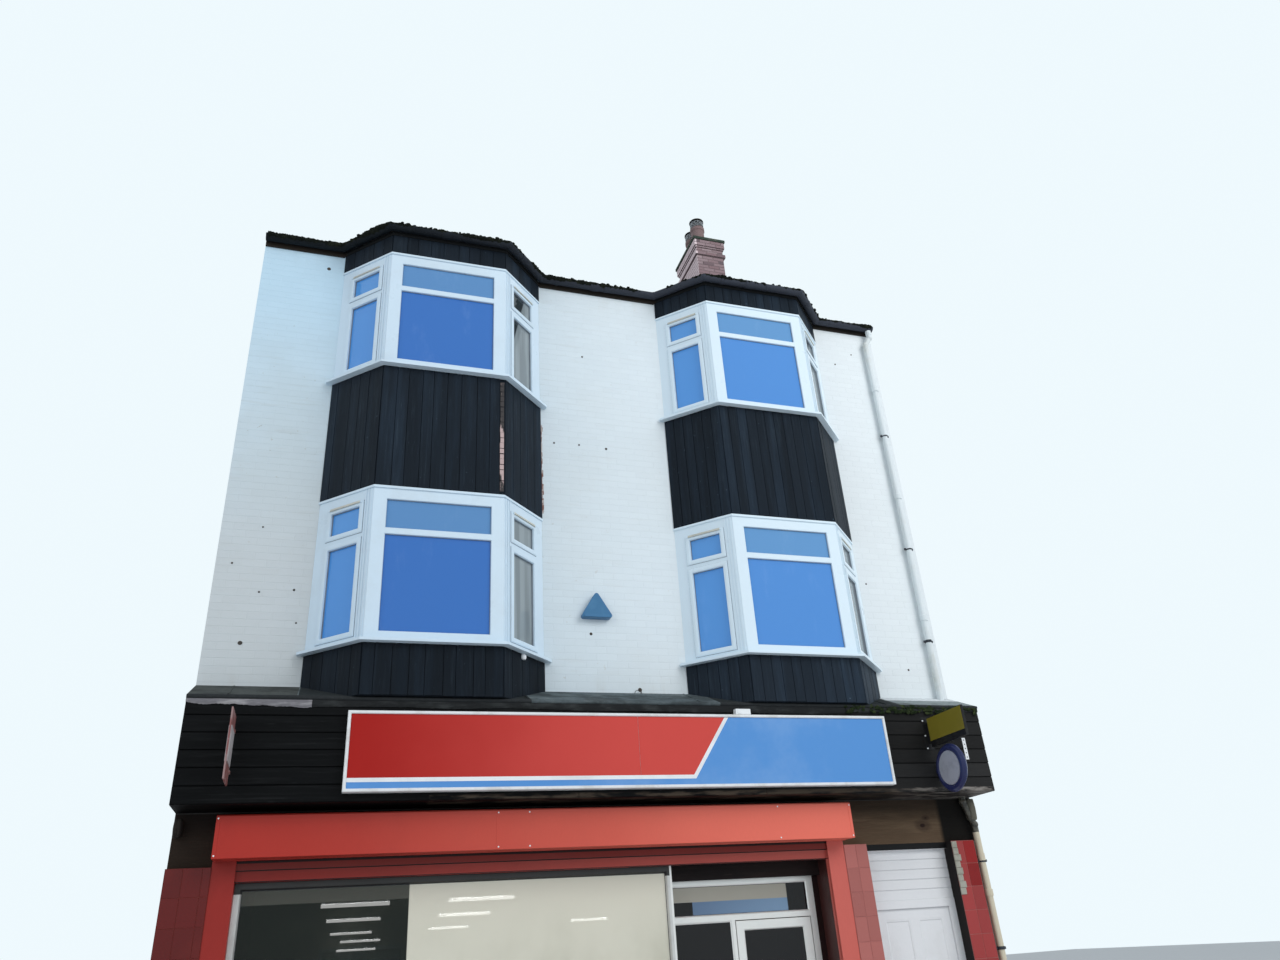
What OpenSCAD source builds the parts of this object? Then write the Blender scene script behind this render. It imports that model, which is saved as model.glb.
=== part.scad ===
// Three-storey terraced shop house with two canted bay windows and a timber shopfront.
// Units are millimetres. X runs along the street, Y into the house, Z up.
// The origin is the middle of the house plot at ground level.

/* [Plot] */
// Width of the house between the outer faces of its party walls
house_w = 7860; // [7760:20:9000]
// Depth of the house from front wall face to rear wall face
house_d = 9400; // [7600:100:12000]
// Thickness of the brick walls
wall_t = 225; // [200:5:330]

/* [Levels] */
// Finished floor level of the first floor
first_floor_z = 3750; // [3700:10:3850]
// Finished floor level of the second floor
second_floor_z = 6720; // [6600:10:6850]
// Thickness of the upper floors with their ceilings
floor_t = 230; // [180:10:260]
// Thickness of the ceiling under the roof
ceiling_t = 100; // [60:5:120]
// Thickness of the ground slab
slab_t = 100; // [80:5:150]
// Height of the roof's underside at the wall faces
plate_z = 9420; // [9390:5:9800]

/* [Roof] */
// Pitch of both roof slopes in degrees
roof_pitch = 35; // [25:1:39]
// Vertical thickness of the tiled roof slopes
roof_t = 70; // [60:5:220]
// Overhang of the tiles beyond the wall faces
eaves_reach = 55; // [30:1:75]
// Radius of the ridge tiles
ridge_r = 125; // [100:5:160]
// Outer radius of the half-round gutters
gutter_r = 57; // [50:1:75]
// Outer radius of the rainwater pipes
pipe_r = 34; // [25:1:45]

/* [Bay windows] */
// Distance from the middle of the house to the left bay's centre line
left_bay_x = 1910; // [1600:10:2300]
// Distance from the middle of the house to the right bay's centre line
right_bay_x = 1900; // [1600:10:2300]
// Width of a bay where it meets the wall
bay_w = 2280; // [2100:10:2400]
// Projection of a bay from the wall face
bay_d = 500; // [440:5:560]
// Thickness of the boarded bay walls
bay_t = 95; // [70:5:120]
// Underside of the bays above the ground
apron_z = 4050; // [4030:5:4100]
// Sill level of the lower bay windows
lower_sill_z = 4560; // [4400:10:4600]
// Head level of the lower bay windows
lower_head_z = 6130; // [5950:10:6200]
// Sill level of the upper bay windows
upper_sill_z = 7570; // [7350:10:7650]
// Head level of the upper bay windows
upper_head_z = 9080; // [8900:10:9130]
// Depth of the window frames from front to back
frame_d = 70; // [60:5:80]
// Height of a window's bottom rail
bottom_rail = 84; // [70:2:120]
// Height of a window's head rail
head_rail = 112; // [90:2:180]
// Height of the transom bar
transom_h = 60; // [50:2:100]
// Height of the glass above the transom
toplight_h = 312; // [200:1:360]
// Width of a sash frame's members
sash_w = 50; // [35:1:60]
// Reach of the sills beyond the bay face
sill_reach = 80; // [60:5:140]
// Reach of the sills beyond the bay's corner at the wall
sill_end = 70; // [50:5:90]
// Thickness of the sills
sill_t = 28; // [20:1:40]

/* [Shopfront] */
// Level of the underside of the beam over the shopfront
beam_z = 2720; // [2700:10:2760]
// Level of the underside of the fascia box
fascia_z = 3160; // [3150:5:3190]
// Height of the boarded fascia
fascia_h = 860; // [700:10:880]
// Reach of the fascia from the wall face
fascia_reach = 450; // [350:10:480]
// Thickness of the fascia boards with their backing
fascia_t = 40; // [30:1:60]
// Number of boards on the fascia
fascia_boards_n = 6; // [4:1:9]
// Width of the sign panel
sign_w = 5330; // [4000:10:6000]
// Height of the sign panel
sign_h = 684; // [500:4:700]
// Thickness of the sign panel
sign_t = 80; // [50:5:120]
// Overhang of the roller shutter box past its right guide
shutter_end = 29; // [0:1:60]
// Height of the roller shutter box
shutter_h = 337; // [280:1:390]
// Reach of the roller shutter box from the wall face
shutter_reach = 300; // [250:5:340]
// Head level of the shop window
shop_head_z = 2600; // [2550:5:2620]
// Height of the tiled wall below the shop window
riser_h = 450; // [350:10:700]
// Face width of the aluminium frame members
alu_w = 45; // [35:1:60]
// Depth of the aluminium frame members
alu_d = 70; // [50:5:90]
// Setback of the entrance screen from the wall face
recess_d = 200; // [120:5:220]
// Width of the shop door leaf
shop_door_w = 800; // [760:5:880]
// Height of the shop door leaf
shop_door_h = 1990; // [1950:5:2010]
// Width of the side door leaf
side_door_w = 874; // [800:2:880]
// Height of the side door leaf
side_door_h = 2015; // [1950:5:2020]
// Thickness of the door leaves
leaf_t = 45; // [35:1:50]
// Running gap round the door leaves
door_gap = 8; // [7:1:12]
// Reach of the tiled pilasters from the wall face
pilaster_reach = 100; // [60:5:120]

/* [Chimney] */
// Width of the chimney stack along the street
stack_w = 560; // [450:10:700]
// Length of the chimney stack from front to back
stack_l = 960; // [700:10:1200]
// Level of the top of the chimney cap
stack_top_z = 14560; // [13900:10:15000]
// Radius of a chimney pot at its foot
pot_r = 138; // [110:2:160]
// Height of a chimney pot
pot_h = 465; // [250:5:700]

/* [Hidden] */

// Clearance between pieces that seat on each other without touching
seat = 0.3;
// Overlap that lets a cutting shape pass through a face
cut = 5;
front_y = -house_d/2;
rear_y = house_d/2;
room_x = house_w/2 - wall_t;
room_y = house_d/2 - wall_t;
beam_top_z = fascia_z - 10;
bay_top_z = plate_z - 45;
ridge_z = plate_z + house_d/2*tan(roof_pitch);

// Underside of the roof, as a height over the distance from the ridge line
function under_roof(y) = ridge_z - abs(y)*tan(roof_pitch);
// Top of the walls, which carry the roof without touching it
function wall_top(y) = under_roof(y) - seat;

// Bay outline set inwards by t from the boards' face, about the bay's own centre line
function bay_points(t) = let (h = bay_w/2 - t*sqrt(2), d = bay_d - t)
    [[-h, 0], [-(h - d), -d], [h - d, -d], [h, 0]];
function reversed(list) = [for (i = [len(list) - 1:-1:0]) list[i]];
bay_cant = bay_d*sqrt(2);
bay_front_w = bay_w - 2*bay_d;
bay_xs = [-left_bay_x, right_bay_x];
bay_sills_z = [lower_sill_z, upper_sill_z];
bay_heads_z = [lower_head_z, upper_head_z];
bay_room_w = bay_w - 2*bay_t*sqrt(2) - 30;

// Bay window joinery
post_front = 125;
post_cant = 117;
cant_trim = 100;
cant_jamb = 25;
rib_w = 14;
rib_pitch = 34;
rib_reach = 6;
sash_reach = 8;
sash_lap = 12;
head_lap = 2;
sill_lap = sash_w - 15;
bar_lap = 6;
bar_drop = 25;
vent_inset = 22;
vent_up = 30;
unit_t = 24;
head_trim_h = 25;
head_trim_reach = 12;
vent_h = 18;
vent_reach = 12;

// Chimney placing
stack_x = house_w/2 - stack_w/2;
stack_y = -185;
pot_x = stack_x - 70;
pot_y = stack_y - 20;
pot_turn = 20;
breast_x0 = stack_x - stack_w/2;
breast_top_z = under_roof(stack_l/2 + abs(stack_y)) - 300;
cap_t = 60;
cap_reach = 55;
oversail = 35;
course_h = 75;
neck_h = 155;
oversail_n = 2;
pot_pitch = stack_l*0.4;

// Gutters
gutter_t = 4;
gutter_top_z = plate_z - 20;
eaves_board_t = 20;
eaves_board_h = 95;
clip_down = 1750;
clip_pitch = 1600;
lower_clip_down = 200;
upper_pipe_x = house_w/2 - 135;
lower_pipe_x = house_w/2 - 50;

// Shopfront grid, left to right
left_pilaster_w = 345;
guide_w = 185;
guide_reach = 95;
left_guide_x = -house_w/2 + left_pilaster_w;
middle_pilaster_w = 260;
right_pilaster_w = 280;
side_bay_w = 1010;
pier_end_w = 135;
right_pilaster_x = house_w/2 - pier_end_w - right_pilaster_w;
middle_pilaster_x = right_pilaster_x - side_bay_w - middle_pilaster_w;
right_guide_x = middle_pilaster_x - guide_w;
entrance_w = 1630;
entrance_x0 = right_guide_x - entrance_w;
shop_front_y = front_y + 10;
entrance_y = front_y + recess_d;
entrance_head_z = 2470;
transom_z = slab_t + door_gap + shop_door_h + door_gap;
glass_t = 10;

// Shop door, hung on the right
shop_jamb_w = 65;
shop_door_x1 = right_guide_x - 65 - shop_jamb_w - door_gap;
shop_door_x0 = shop_door_x1 - shop_door_w;
shop_stile = 75;
alu_bar = 40;
side_light_bar = 35;
side_light_rail = 80;
shop_bottom_rail = 150;

// Hinges: the pin line stands proud of the leaf's inner face, in the middle of the gap
hinge_r = 7;
hinge_pin_r = 3.5;
hinge_h = 90;
hinge_plate_w = 30;
hinge_plate_t = 3;
hinge_up = 180;

// Side door, hung on the right
side_jamb_w = (side_bay_w - side_door_w)/2 - door_gap;
side_x0 = middle_pilaster_x + middle_pilaster_w;
side_door_x0 = side_x0 + side_jamb_w + door_gap;
side_door_x1 = side_door_x0 + side_door_w;
side_door_y = front_y + 60;
side_head_h = 60;
side_frame_top = slab_t + door_gap + side_door_h + door_gap + side_head_h;
side_frame_reach = 20;
stop_gap = 5;
stop_lap = 10;
side_boards_top = beam_z - 60;
side_boards_n = 5;

// Shutter and sign
shutter_z = fascia_z - 60 - shutter_h;
shutter_x0 = left_guide_x + 4;
shutter_x1 = right_guide_x + guide_w + shutter_end;
end_sign_x = house_w/2 - 690;
sign_gap = 535;
sign_x0 = end_sign_x - sign_gap - sign_w;
sign_z = fascia_z + 66;

// Rear openings: centre, sill, width and height of each
rear_upper_w = 1100;
rear_upper_h = 1400;
rear_xs = [-1900, 1900];
rear_sill_up = 850;
rear_door_w = 900;
rear_door_h = 2100;
rear_door_x = 1900;
rear_rail_h = 200;
rear_panel_h = 750;
rear_shop_w = 1400;
rear_frame_w = 60;
function rear_windows() = concat(
    [for (x = rear_xs) for (z = [first_floor_z, second_floor_z])
        [x, z + rear_sill_up, rear_upper_w, rear_upper_h]],
    [[-rear_door_x, slab_t + 1000, rear_shop_w, 1200]]);

module plate(x0, x1, y0, y1, z0, z1) {
    translate([x0, y0, z0]) cube([x1 - x0, y1 - y0, z1 - z0]);
}

// A shape drawn in the depth and height plane and drawn out along the street
module along_street(x0, x1) {
    translate([x0, 0, 0]) rotate([90, 0, 90]) linear_extrude(x1 - x0) children();
}

// A closed band that follows the three faces of a bay
module bay_band(t0, t1, z0, z1) {
    translate([0, 0, z0]) linear_extrude(z1 - z0)
        polygon(concat(bay_points(t0), reversed(bay_points(t1))));
}

// The bay's outline filled to the wall face
module bay_fill(t, z0, z1, back = 0) {
    p = bay_points(t);
    translate([0, 0, z0]) linear_extrude(z1 - z0)
        polygon([[p[0][0], back], p[0], p[1], p[2], p[3], [p[3][0], back]]);
}

module at_bay(i) {
    translate([bay_xs[i], front_y, 0]) children();
}

// Frame of the right canted face: u runs from the wall to the corner, outwards is +v
module cant_face() {
    translate([bay_w/2, 0, 0]) rotate([0, 0, 225]) children();
}

module both_sides() {
    for (s = [0, 1]) mirror([s, 0, 0]) children();
}

module party_wall(x0) {
    along_street(x0, x0 + wall_t) polygon([
        [front_y, 0], [room_y, 0], [room_y, wall_top(room_y)], [0, wall_top(0)],
        [-room_y, wall_top(room_y)], [-room_y, beam_z], [front_y, beam_z]]);
}

module ground_slab() {
    color("gray") difference() {
        union() {
            plate(-room_x, room_x, -room_y, room_y, 0, slab_t);
            plate(left_guide_x, right_pilaster_x, front_y, -room_y + cut, 0, slab_t);
            plate(rear_door_x - rear_door_w/2, rear_door_x + rear_door_w/2, room_y - cut, rear_y, 0, slab_t);
        }
        plate(middle_pilaster_x, side_x0, front_y - cut, -room_y, -cut, slab_t + cut);
        plate(breast_x0, house_w, stack_y - stack_l/2, stack_y + stack_l/2, -cut, slab_t + cut);
    }
}

module left_party_wall() {
    color("indianred") party_wall(-house_w/2);
}

module right_party_wall() {
    color("indianred") difference() {
        party_wall(room_x);
        plate(breast_x0, house_w, stack_y - stack_l/2, stack_y + stack_l/2, breast_top_z, ridge_z + cut);
    }
}

module front_wall() {
    color("white") difference() {
        along_street(-house_w/2, house_w/2) polygon([
            [front_y, beam_top_z], [-room_y, beam_top_z],
            [-room_y, wall_top(room_y)], [front_y, wall_top(front_y)]]);
        for (x = bay_xs) {
            plate(x - bay_room_w/2, x + bay_room_w/2, front_y - cut, -room_y + cut,
                apron_z + bay_t, lower_head_z);
            plate(x - bay_room_w/2, x + bay_room_w/2, front_y - cut, -room_y + cut,
                second_floor_z, upper_head_z);
            plate(x - bay_room_w/2, x + bay_room_w/2, front_y - cut, -room_y + cut,
                second_floor_z - floor_t, second_floor_z + cut);
        }
    }
}

module rear_wall() {
    color("sienna") difference() {
        along_street(-house_w/2, house_w/2) polygon([
            [room_y, 0], [rear_y, 0], [rear_y, wall_top(rear_y)], [room_y, wall_top(room_y)]]);
        for (w = rear_windows())
            plate(w[0] - w[2]/2, w[0] + w[2]/2, room_y - cut, rear_y + cut, w[1], w[1] + w[3]);
        plate(rear_door_x - rear_door_w/2, rear_door_x + rear_door_w/2, room_y - cut, rear_y + cut,
            -cut, slab_t + rear_door_h);
    }
}

module shopfront_beam() {
    color("saddlebrown")
        plate(-house_w/2, house_w/2, front_y, -room_y, beam_z, beam_top_z);
}

module first_floor() {
    color("burlywood") difference() {
        plate(-room_x, room_x, -room_y, room_y, first_floor_z - floor_t, first_floor_z);
        plate(breast_x0, house_w, stack_y - stack_l/2, stack_y + stack_l/2, 0, stack_top_z);
    }
}

module second_floor() {
    color("burlywood") difference() {
        union() {
            plate(-room_x, room_x, -room_y, room_y, second_floor_z - floor_t, second_floor_z);
            for (i = [0, 1]) at_bay(i) intersection() {
                bay_fill(bay_t + seat, second_floor_z - floor_t, second_floor_z, wall_t + cut);
                plate(-bay_room_w/2, bay_room_w/2, -bay_d, wall_t + cut,
                    second_floor_z - floor_t, second_floor_z);
            }
        }
        plate(breast_x0, house_w, stack_y - stack_l/2, stack_y + stack_l/2, 0, stack_top_z);
    }
}

module top_ceiling() {
    top = plate_z - 60;
    color("ivory") difference() {
        plate(-room_x, room_x, -room_y, room_y, top - ceiling_t, top);
        plate(breast_x0, house_w, stack_y - stack_l/2, stack_y + stack_l/2, 0, stack_top_z);
    }
}

// One roof slope, from the eaves to the ridge, on the side given by its sign
module roof_slope(side) {
    eaves = house_d/2 + eaves_reach;
    drip_z = gutter_top_z + seat;
    drip_y = (ridge_z - drip_z)/tan(roof_pitch);
    difference() {
        along_street(-house_w/2, house_w/2) polygon([
            [side*eaves, drip_z], [side*drip_y, drip_z], [0, ridge_z],
            [0, ridge_z + roof_t], [side*eaves, under_roof(eaves) + roof_t]]);
        plate(breast_x0 - seat, house_w, stack_y - stack_l/2 - seat, stack_y + stack_l/2 + seat,
            0, stack_top_z);
    }
}

module front_roof_slope() {
    color("dimgray") roof_slope(-1);
}

module rear_roof_slope() {
    color("dimgray") roof_slope(1);
}

module ridge_tiles() {
    tile_n = 17;
    length = breast_x0 - 10 + house_w/2;
    pitch = length/tile_n;
    color("darkslategray") for (i = [0:tile_n - 1])
        translate([-house_w/2 + i*pitch, 0, ridge_z + roof_t]) difference() {
            rotate([90, 0, 90]) linear_extrude(pitch - 4) difference() {
                circle(r = ridge_r, $fn = 48);
                circle(r = ridge_r - 18, $fn = 48);
                translate([0, -ridge_r]) square([3*ridge_r, 2*ridge_r*0.42], center = true);
            }
            rotate([90, 0, 90]) translate([0, 0, -cut]) linear_extrude(pitch + 2*cut) polygon([
                [-3*ridge_r, -3*ridge_r*tan(roof_pitch) + seat], [0, seat],
                [3*ridge_r, -3*ridge_r*tan(roof_pitch) + seat], [0, -9*ridge_r]]);
        }
}

module chimney_breast() {
    color("linen")
        plate(breast_x0, room_x, stack_y - stack_l/2, stack_y + stack_l/2, 0, breast_top_z);
}

// A course of the stack that stands out all round by reach
module stack_course(reach, z0, z1) {
    plate(stack_x - stack_w/2 - reach, stack_x + stack_w/2 + reach,
        stack_y - stack_l/2 - reach, stack_y + stack_l/2 + reach, z0, z1);
}

module chimney_stack() {
    top = stack_top_z - cap_t;
    color("indianred") {
        stack_course(0, breast_top_z, top);
        stack_course(oversail, top - oversail_n*course_h, top);
        stack_course(oversail/2, top - (oversail_n + 0.5)*course_h, top - cut);
        stack_course(oversail, top - (oversail_n + 1)*course_h - neck_h,
            top - oversail_n*course_h - neck_h);
    }
}

module chimney_cap() {
    color("darkslategray") difference() {
        stack_course(cap_reach, stack_top_z - cap_t + seat, stack_top_z);
        for (s = [-1, 1]) translate([pot_x + s*pot_turn, pot_y + s*pot_pitch/2, stack_top_z - cap_t/2])
            cylinder(h = cap_t, r = pot_r + seat, $fn = 48);
    }
}

module chimney_pots() {
    color("rosybrown") for (s = [-1, 1])
        translate([pot_x + s*pot_turn, pot_y + s*pot_pitch/2, stack_top_z - cap_t/2])
            rotate_extrude($fn = 48) polygon([
                [pot_r - 25, 0], [pot_r, 0], [pot_r - 8, cap_t/2 + pot_h*0.7],
                [pot_r - 8, cap_t/2 + pot_h*0.82], [pot_r + 8, cap_t/2 + pot_h*0.86],
                [pot_r + 8, cap_t/2 + pot_h], [pot_r - 30, cap_t/2 + pot_h]]);
}

// A slotted metal cage with a flat-domed top over each pot
module pot_cowls() {
    cage_h = 190;
    bar_n = 10;
    r = pot_r + 2;
    color("black") for (s = [-1, 1])
        translate([pot_x + s*pot_turn, pot_y + s*pot_pitch/2, stack_top_z + pot_h + seat]) {
            rotate_extrude($fn = 48) polygon([[r - 24, 0], [r, 0], [r, 26], [r - 24, 26]]);
            for (k = [0:bar_n - 1]) rotate([0, 0, k*360/bar_n])
                translate([r - 20, -6, 10]) cube([14, 12, cage_h - 10]);
            translate([0, 0, cage_h - 10]) rotate_extrude($fn = 48)
                polygon([[0, 0], [r + 6, 0], [r + 6, 14], [r*0.7, 52], [r*0.3, 68], [0, 72]]);
        }
}

// Boarded stud walls of one bay: apron, spandrel and head, with the bay's bottom plate
module bay_boarding(i) {
    at_bay(i) {
        bay_band(0, bay_t, apron_z, bay_sills_z[0] - sill_t);
        bay_fill(bay_t - cut, apron_z, apron_z + bay_t);
        bay_band(0, bay_t, bay_heads_z[0], bay_sills_z[1] - sill_t);
        bay_band(0, bay_t, bay_heads_z[1], bay_top_z);
        bay_fill(bay_t - cut, bay_heads_z[1] + head_trim_h, bay_top_z);
    }
}

module left_bay_boarding() {
    color("#22262a") bay_boarding(0);
}

module right_bay_boarding() {
    color("#22262a") bay_boarding(1);
}

// Low canted roofs that run back from the bay gutters to the main slope
module bay_roofs() {
    rise = 150;
    back = 120;
    color("dimgray") for (i = [0, 1]) at_bay(i) difference() {
        hull() {
            bay_fill(seat - eaves_board_t, bay_top_z + seat, bay_top_z + 25);
            translate([-bay_front_w/2, -20, bay_top_z + rise - 10]) cube([bay_front_w, 10, 10]);
        }
        translate([-bay_w, -back, 0]) along_street(0, 2*bay_w) polygon([[back + cut, bay_top_z - cut],
            [back + cut, bay_top_z + 2*rise], [0, bay_top_z + 2*rise], [back - 75, bay_top_z - cut]]);
    }
}

// A rectangular frame in a face's own plane
module ring_frame(u0, u1, z0, z1, w, y0, y1) {
    difference() {
        plate(u0, u1, y0, y1, z0, z1);
        plate(u0 + w, u1 - w, y0 - cut, y1 + cut, z0 + w, z1 - w);
    }
}

// Corner post between the front light and a canted light, in plan
module post_plan() {
    d = bay_d;
    h = bay_w/2;
    c = (h - d);
    k = sqrt(0.5);
    t = frame_d;
    polygon([[c - post_front, -d], [c, -d], [c + post_cant*k, -d + post_cant*k],
        [c + (post_cant - t)*k, -d + (post_cant + t)*k], [c - t*tan(22.5), -d + t],
        [c - post_front, -d + t]]);
}

// Foot and head of a canted light's casement and of the fanlight over it
function sash_levels(open_z0, open_z1, bar_z0, bar_z1) =
    [[open_z0 - sill_lap, bar_z0 - bar_drop + bar_lap],
        [bar_z1 - bar_drop - bar_lap, open_z1 + head_lap]];

// Frames, posts and bars of one bay storey: sill and head levels, opening and transom levels
module bay_joinery(z0, z1, open_z0, open_z1, bar_z0, bar_z1) {
    u0 = cant_trim + cant_jamb;
    u1 = bay_cant - post_cant;
    trim_z = z1 - head_trim_h;
    bay_band(0, frame_d, z0, open_z0);
    bay_band(0, frame_d, open_z1, trim_z);
    bay_band(-head_trim_reach, frame_d, trim_z, z1);
    plate(-bay_front_w/2 + post_front - cut, bay_front_w/2 - post_front + cut,
        -bay_d, -bay_d + frame_d, bar_z0, bar_z1);
    both_sides() {
        translate([0, 0, z0]) linear_extrude(trim_z - z0) post_plan();
        cant_face() {
            plate(0, u0, -frame_d, 0, z0, trim_z);
            plate(u0 - cut, u1 + cut, -frame_d, 0, bar_z0 - bar_drop + bar_lap/2,
                bar_z1 - bar_drop - bar_lap/2);
            for (z = sash_levels(open_z0, open_z1, bar_z0, bar_z1))
                ring_frame(u0, u1, z[0], z[1], sash_w, sash_lap - frame_d, sash_reach);
            plate(u0 + vent_inset, u1 - vent_inset, sash_reach - cut, sash_reach + vent_reach,
                open_z1 - sash_w + vent_up, open_z1 - sash_w + vent_up + vent_h);
            for (k = [0:2]) plate(u1 + rib_w + k*rib_pitch, u1 + 2*rib_w + k*rib_pitch, -cut, rib_reach,
                z0, trim_z);
        }
    }
}

// Window of one bay storey between its sill and its head, cut off at the wall face
module bay_window(i, storey) {
    z0 = bay_sills_z[storey];
    z1 = bay_heads_z[storey];
    open_z1 = z1 - head_rail - head_trim_h;
    bar_z1 = open_z1 - toplight_h;
    at_bay(i) difference() {
        bay_joinery(z0, z1, z0 + bottom_rail, open_z1, bar_z1 - transom_h, bar_z1);
        plate(-bay_w, bay_w, 0, frame_d, z0 - cut, z1 + cut);
    }
}

module bay_panes(i, storey) {
    z0 = bay_sills_z[storey];
    z1 = bay_heads_z[storey];
    open_z0 = z0 + bottom_rail;
    open_z1 = z1 - head_rail - head_trim_h;
    bar_z0 = open_z1 - toplight_h - transom_h;
    bar_z1 = open_z1 - toplight_h;
    glass_y = -frame_d/2 - unit_t/2;
    half = bay_front_w/2 - post_front - seat;
    u0 = cant_trim + cant_jamb + sash_w + seat;
    u1 = bay_cant - post_cant - sash_w - seat;
    at_bay(i) {
        for (z = [[open_z0, bar_z0], [bar_z1, open_z1]])
            plate(-half, half, -bay_d - glass_y - unit_t, -bay_d - glass_y, z[0] + seat, z[1] - seat);
        both_sides() cant_face()
            for (z = sash_levels(open_z0, open_z1, bar_z0, bar_z1))
                plate(u0, u1, glass_y, glass_y + unit_t, z[0] + sash_w + seat, z[1] - sash_w - seat);
    }
}

module left_bay_lower_window() {
    color("white") bay_window(0, 0);
}

module left_bay_upper_window() {
    color("white") bay_window(0, 1);
}

module right_bay_lower_window() {
    color("white") bay_window(1, 0);
}

module right_bay_upper_window() {
    color("white") bay_window(1, 1);
}

module left_bay_glass() {
    color("lightsteelblue") for (s = [0, 1]) bay_panes(0, s);
}

module right_bay_glass() {
    color("lightsteelblue") for (s = [0, 1]) bay_panes(1, s);
}

module bay_sills() {
    color("white") for (i = [0, 1]) for (s = [0, 1]) at_bay(i)
        intersection() {
            bay_band(-sill_reach, frame_d, bay_sills_z[s] - sill_t, bay_sills_z[s]);
            plate(-bay_w/2 - sill_end, bay_w/2 + sill_end, -2*bay_d, bay_d, 0, ridge_z);
        }
}

// Half-round gutter section with its rim level at zero, back of the gutter at x = 0
module gutter_section() {
    translate([gutter_r, 0]) difference() {
        circle(r = gutter_r, $fn = 48);
        circle(r = gutter_r - gutter_t, $fn = 48);
        translate([-2*gutter_r, 0]) square([4*gutter_r, 2*gutter_r]);
    }
}

// The same section as points: outer arc from back to front, inner arc from front to back
function gutter_points(steps) = concat(
    [for (k = [0:steps]) let (a = 180 + 180*k/steps)
        [gutter_r + gutter_r*cos(a), gutter_r*sin(a)]],
    [for (k = [0:steps]) let (a = 360 - 180*k/steps)
        [gutter_r + (gutter_r - gutter_t)*cos(a), (gutter_r - gutter_t)*sin(a)]]);

function unit(v) = v/norm(v);

// Direction and length in which a path's corner moves for each unit of outward offset
function corner_offsets(path) = [for (i = [0:len(path) - 1])
    let (last = len(path) - 1,
        before = i > 0 ? unit(path[i] - path[i - 1]) : unit(path[1] - path[0]),
        after = i < last ? unit(path[i + 1] - path[i]) : before,
        n = [before[1] + after[1], -before[0] - after[0]]) n*2/(n*n)];

// A section of [outwards, up] points carried along a level path with mitred corners.
// The section runs along one face of a sheet and back along the other, point for point.
module mitred_sweep(path, section, z) {
    out = corner_offsets(path);
    m = len(section);
    last = len(path) - 1;
    polyhedron(
        points = [for (i = [0:last]) for (q = section)
            [path[i][0] + out[i][0]*q[0], path[i][1] + out[i][1]*q[0], z + q[1]]],
        faces = concat(
            [for (j = [0:m/2 - 2]) [m - 1 - j, m - 2 - j, j + 1, j]],
            [for (j = [0:m/2 - 2]) [j, j + 1, m - 2 - j, m - 1 - j] + last*m*[1, 1, 1, 1]],
            [for (i = [0:last - 1]) for (j = [0:m - 1]) let (k = (j + 1)%m)
                [i*m + j, i*m + k, (i + 1)*m + k, (i + 1)*m + j]]));
}

// Path of the gutter's back edge along the wall and round both bays
function gutter_path() = let (t = eaves_board_t, wall = front_y - t, h = bay_w/2 + (sqrt(2) - 1)*t)
    concat([[-house_w/2, wall]],
        [for (x = bay_xs) for (p = [[x - h, wall], [x - bay_front_w/2 - 0.414*t, wall - bay_d],
            [x + bay_front_w/2 + 0.414*t, wall - bay_d], [x + h, wall]]) p],
        [[house_w/2, wall]]);

module front_gutter() {
    color("black") {
        mitred_sweep(gutter_path(), gutter_points(16), gutter_top_z);
        for (x = [-house_w/2, house_w/2 - gutter_t])
            translate([x, front_y - eaves_board_t, gutter_top_z]) rotate([90, 0, 90]) mirror([1, 0, 0])
                linear_extrude(gutter_t) translate([gutter_r, 0]) difference() {
                    circle(r = gutter_r - 1, $fn = 32);
                    translate([-2*gutter_r, 0]) square([4*gutter_r, 2*gutter_r]);
                }
    }
}

module eaves_board() {
    z0 = gutter_top_z + 5 - eaves_board_h;
    y0 = front_y - eaves_board_t;
    edge = bay_w/2 + 15;
    color("#4a3a30") {
        plate(-house_w/2, bay_xs[0] - edge, y0, front_y, z0, z0 + eaves_board_h);
        plate(bay_xs[0] + edge, bay_xs[1] - edge, y0, front_y, z0, z0 + eaves_board_h);
        plate(bay_xs[1] + edge, house_w/2, y0, front_y, z0, z0 + eaves_board_h);
        for (i = [0, 1]) at_bay(i)
            bay_band(-eaves_board_t, 0, bay_top_z - eaves_board_h/2, bay_top_z);
    }
}

// A round pipe through a list of points, with a ball-shaped bend at each inner point
module pipe_run(points, r) {
    for (i = [1:len(points) - 1]) {
        d = points[i] - points[i - 1];
        translate(points[i - 1]) rotate([0, acos(d[2]/norm(d)), atan2(d[1], d[0])])
            cylinder(h = norm(d), r = r, $fn = 32);
    }
    for (i = [1:1:len(points) - 2]) translate(points[i]) sphere(r = r*1.2, $fn = 32);
}

module front_downpipe() {
    y = front_y - pipe_r - 25;
    outlet = [upper_pipe_x + 75, front_y - eaves_board_t - gutter_r, gutter_top_z - gutter_r - seat];
    color("white") {
        translate([outlet[0], outlet[1], outlet[2] - 60]) cylinder(h = 60, r = pipe_r + 5, $fn = 32);
        pipe_run([outlet - [0, 0, 10], outlet - [0, 0, 110], [upper_pipe_x, y, outlet[2] - 230],
            [upper_pipe_x, y, fascia_z - 50], [lower_pipe_x, y, fascia_z - 280],
            [lower_pipe_x, y, 90]], pipe_r);
        for (top = [[upper_pipe_x, plate_z - clip_down], [lower_pipe_x, beam_z - lower_clip_down]])
            for (p = [top, top - [0, clip_pitch]]) {
                translate([p[0], y, p[1]]) cylinder(h = 70, r = pipe_r + 5, $fn = 32);
                plate(p[0] - 14, p[0] + 14, y + pipe_r - 6, front_y, p[1] + 20, p[1] + 45);
            }
    }
}

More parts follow.
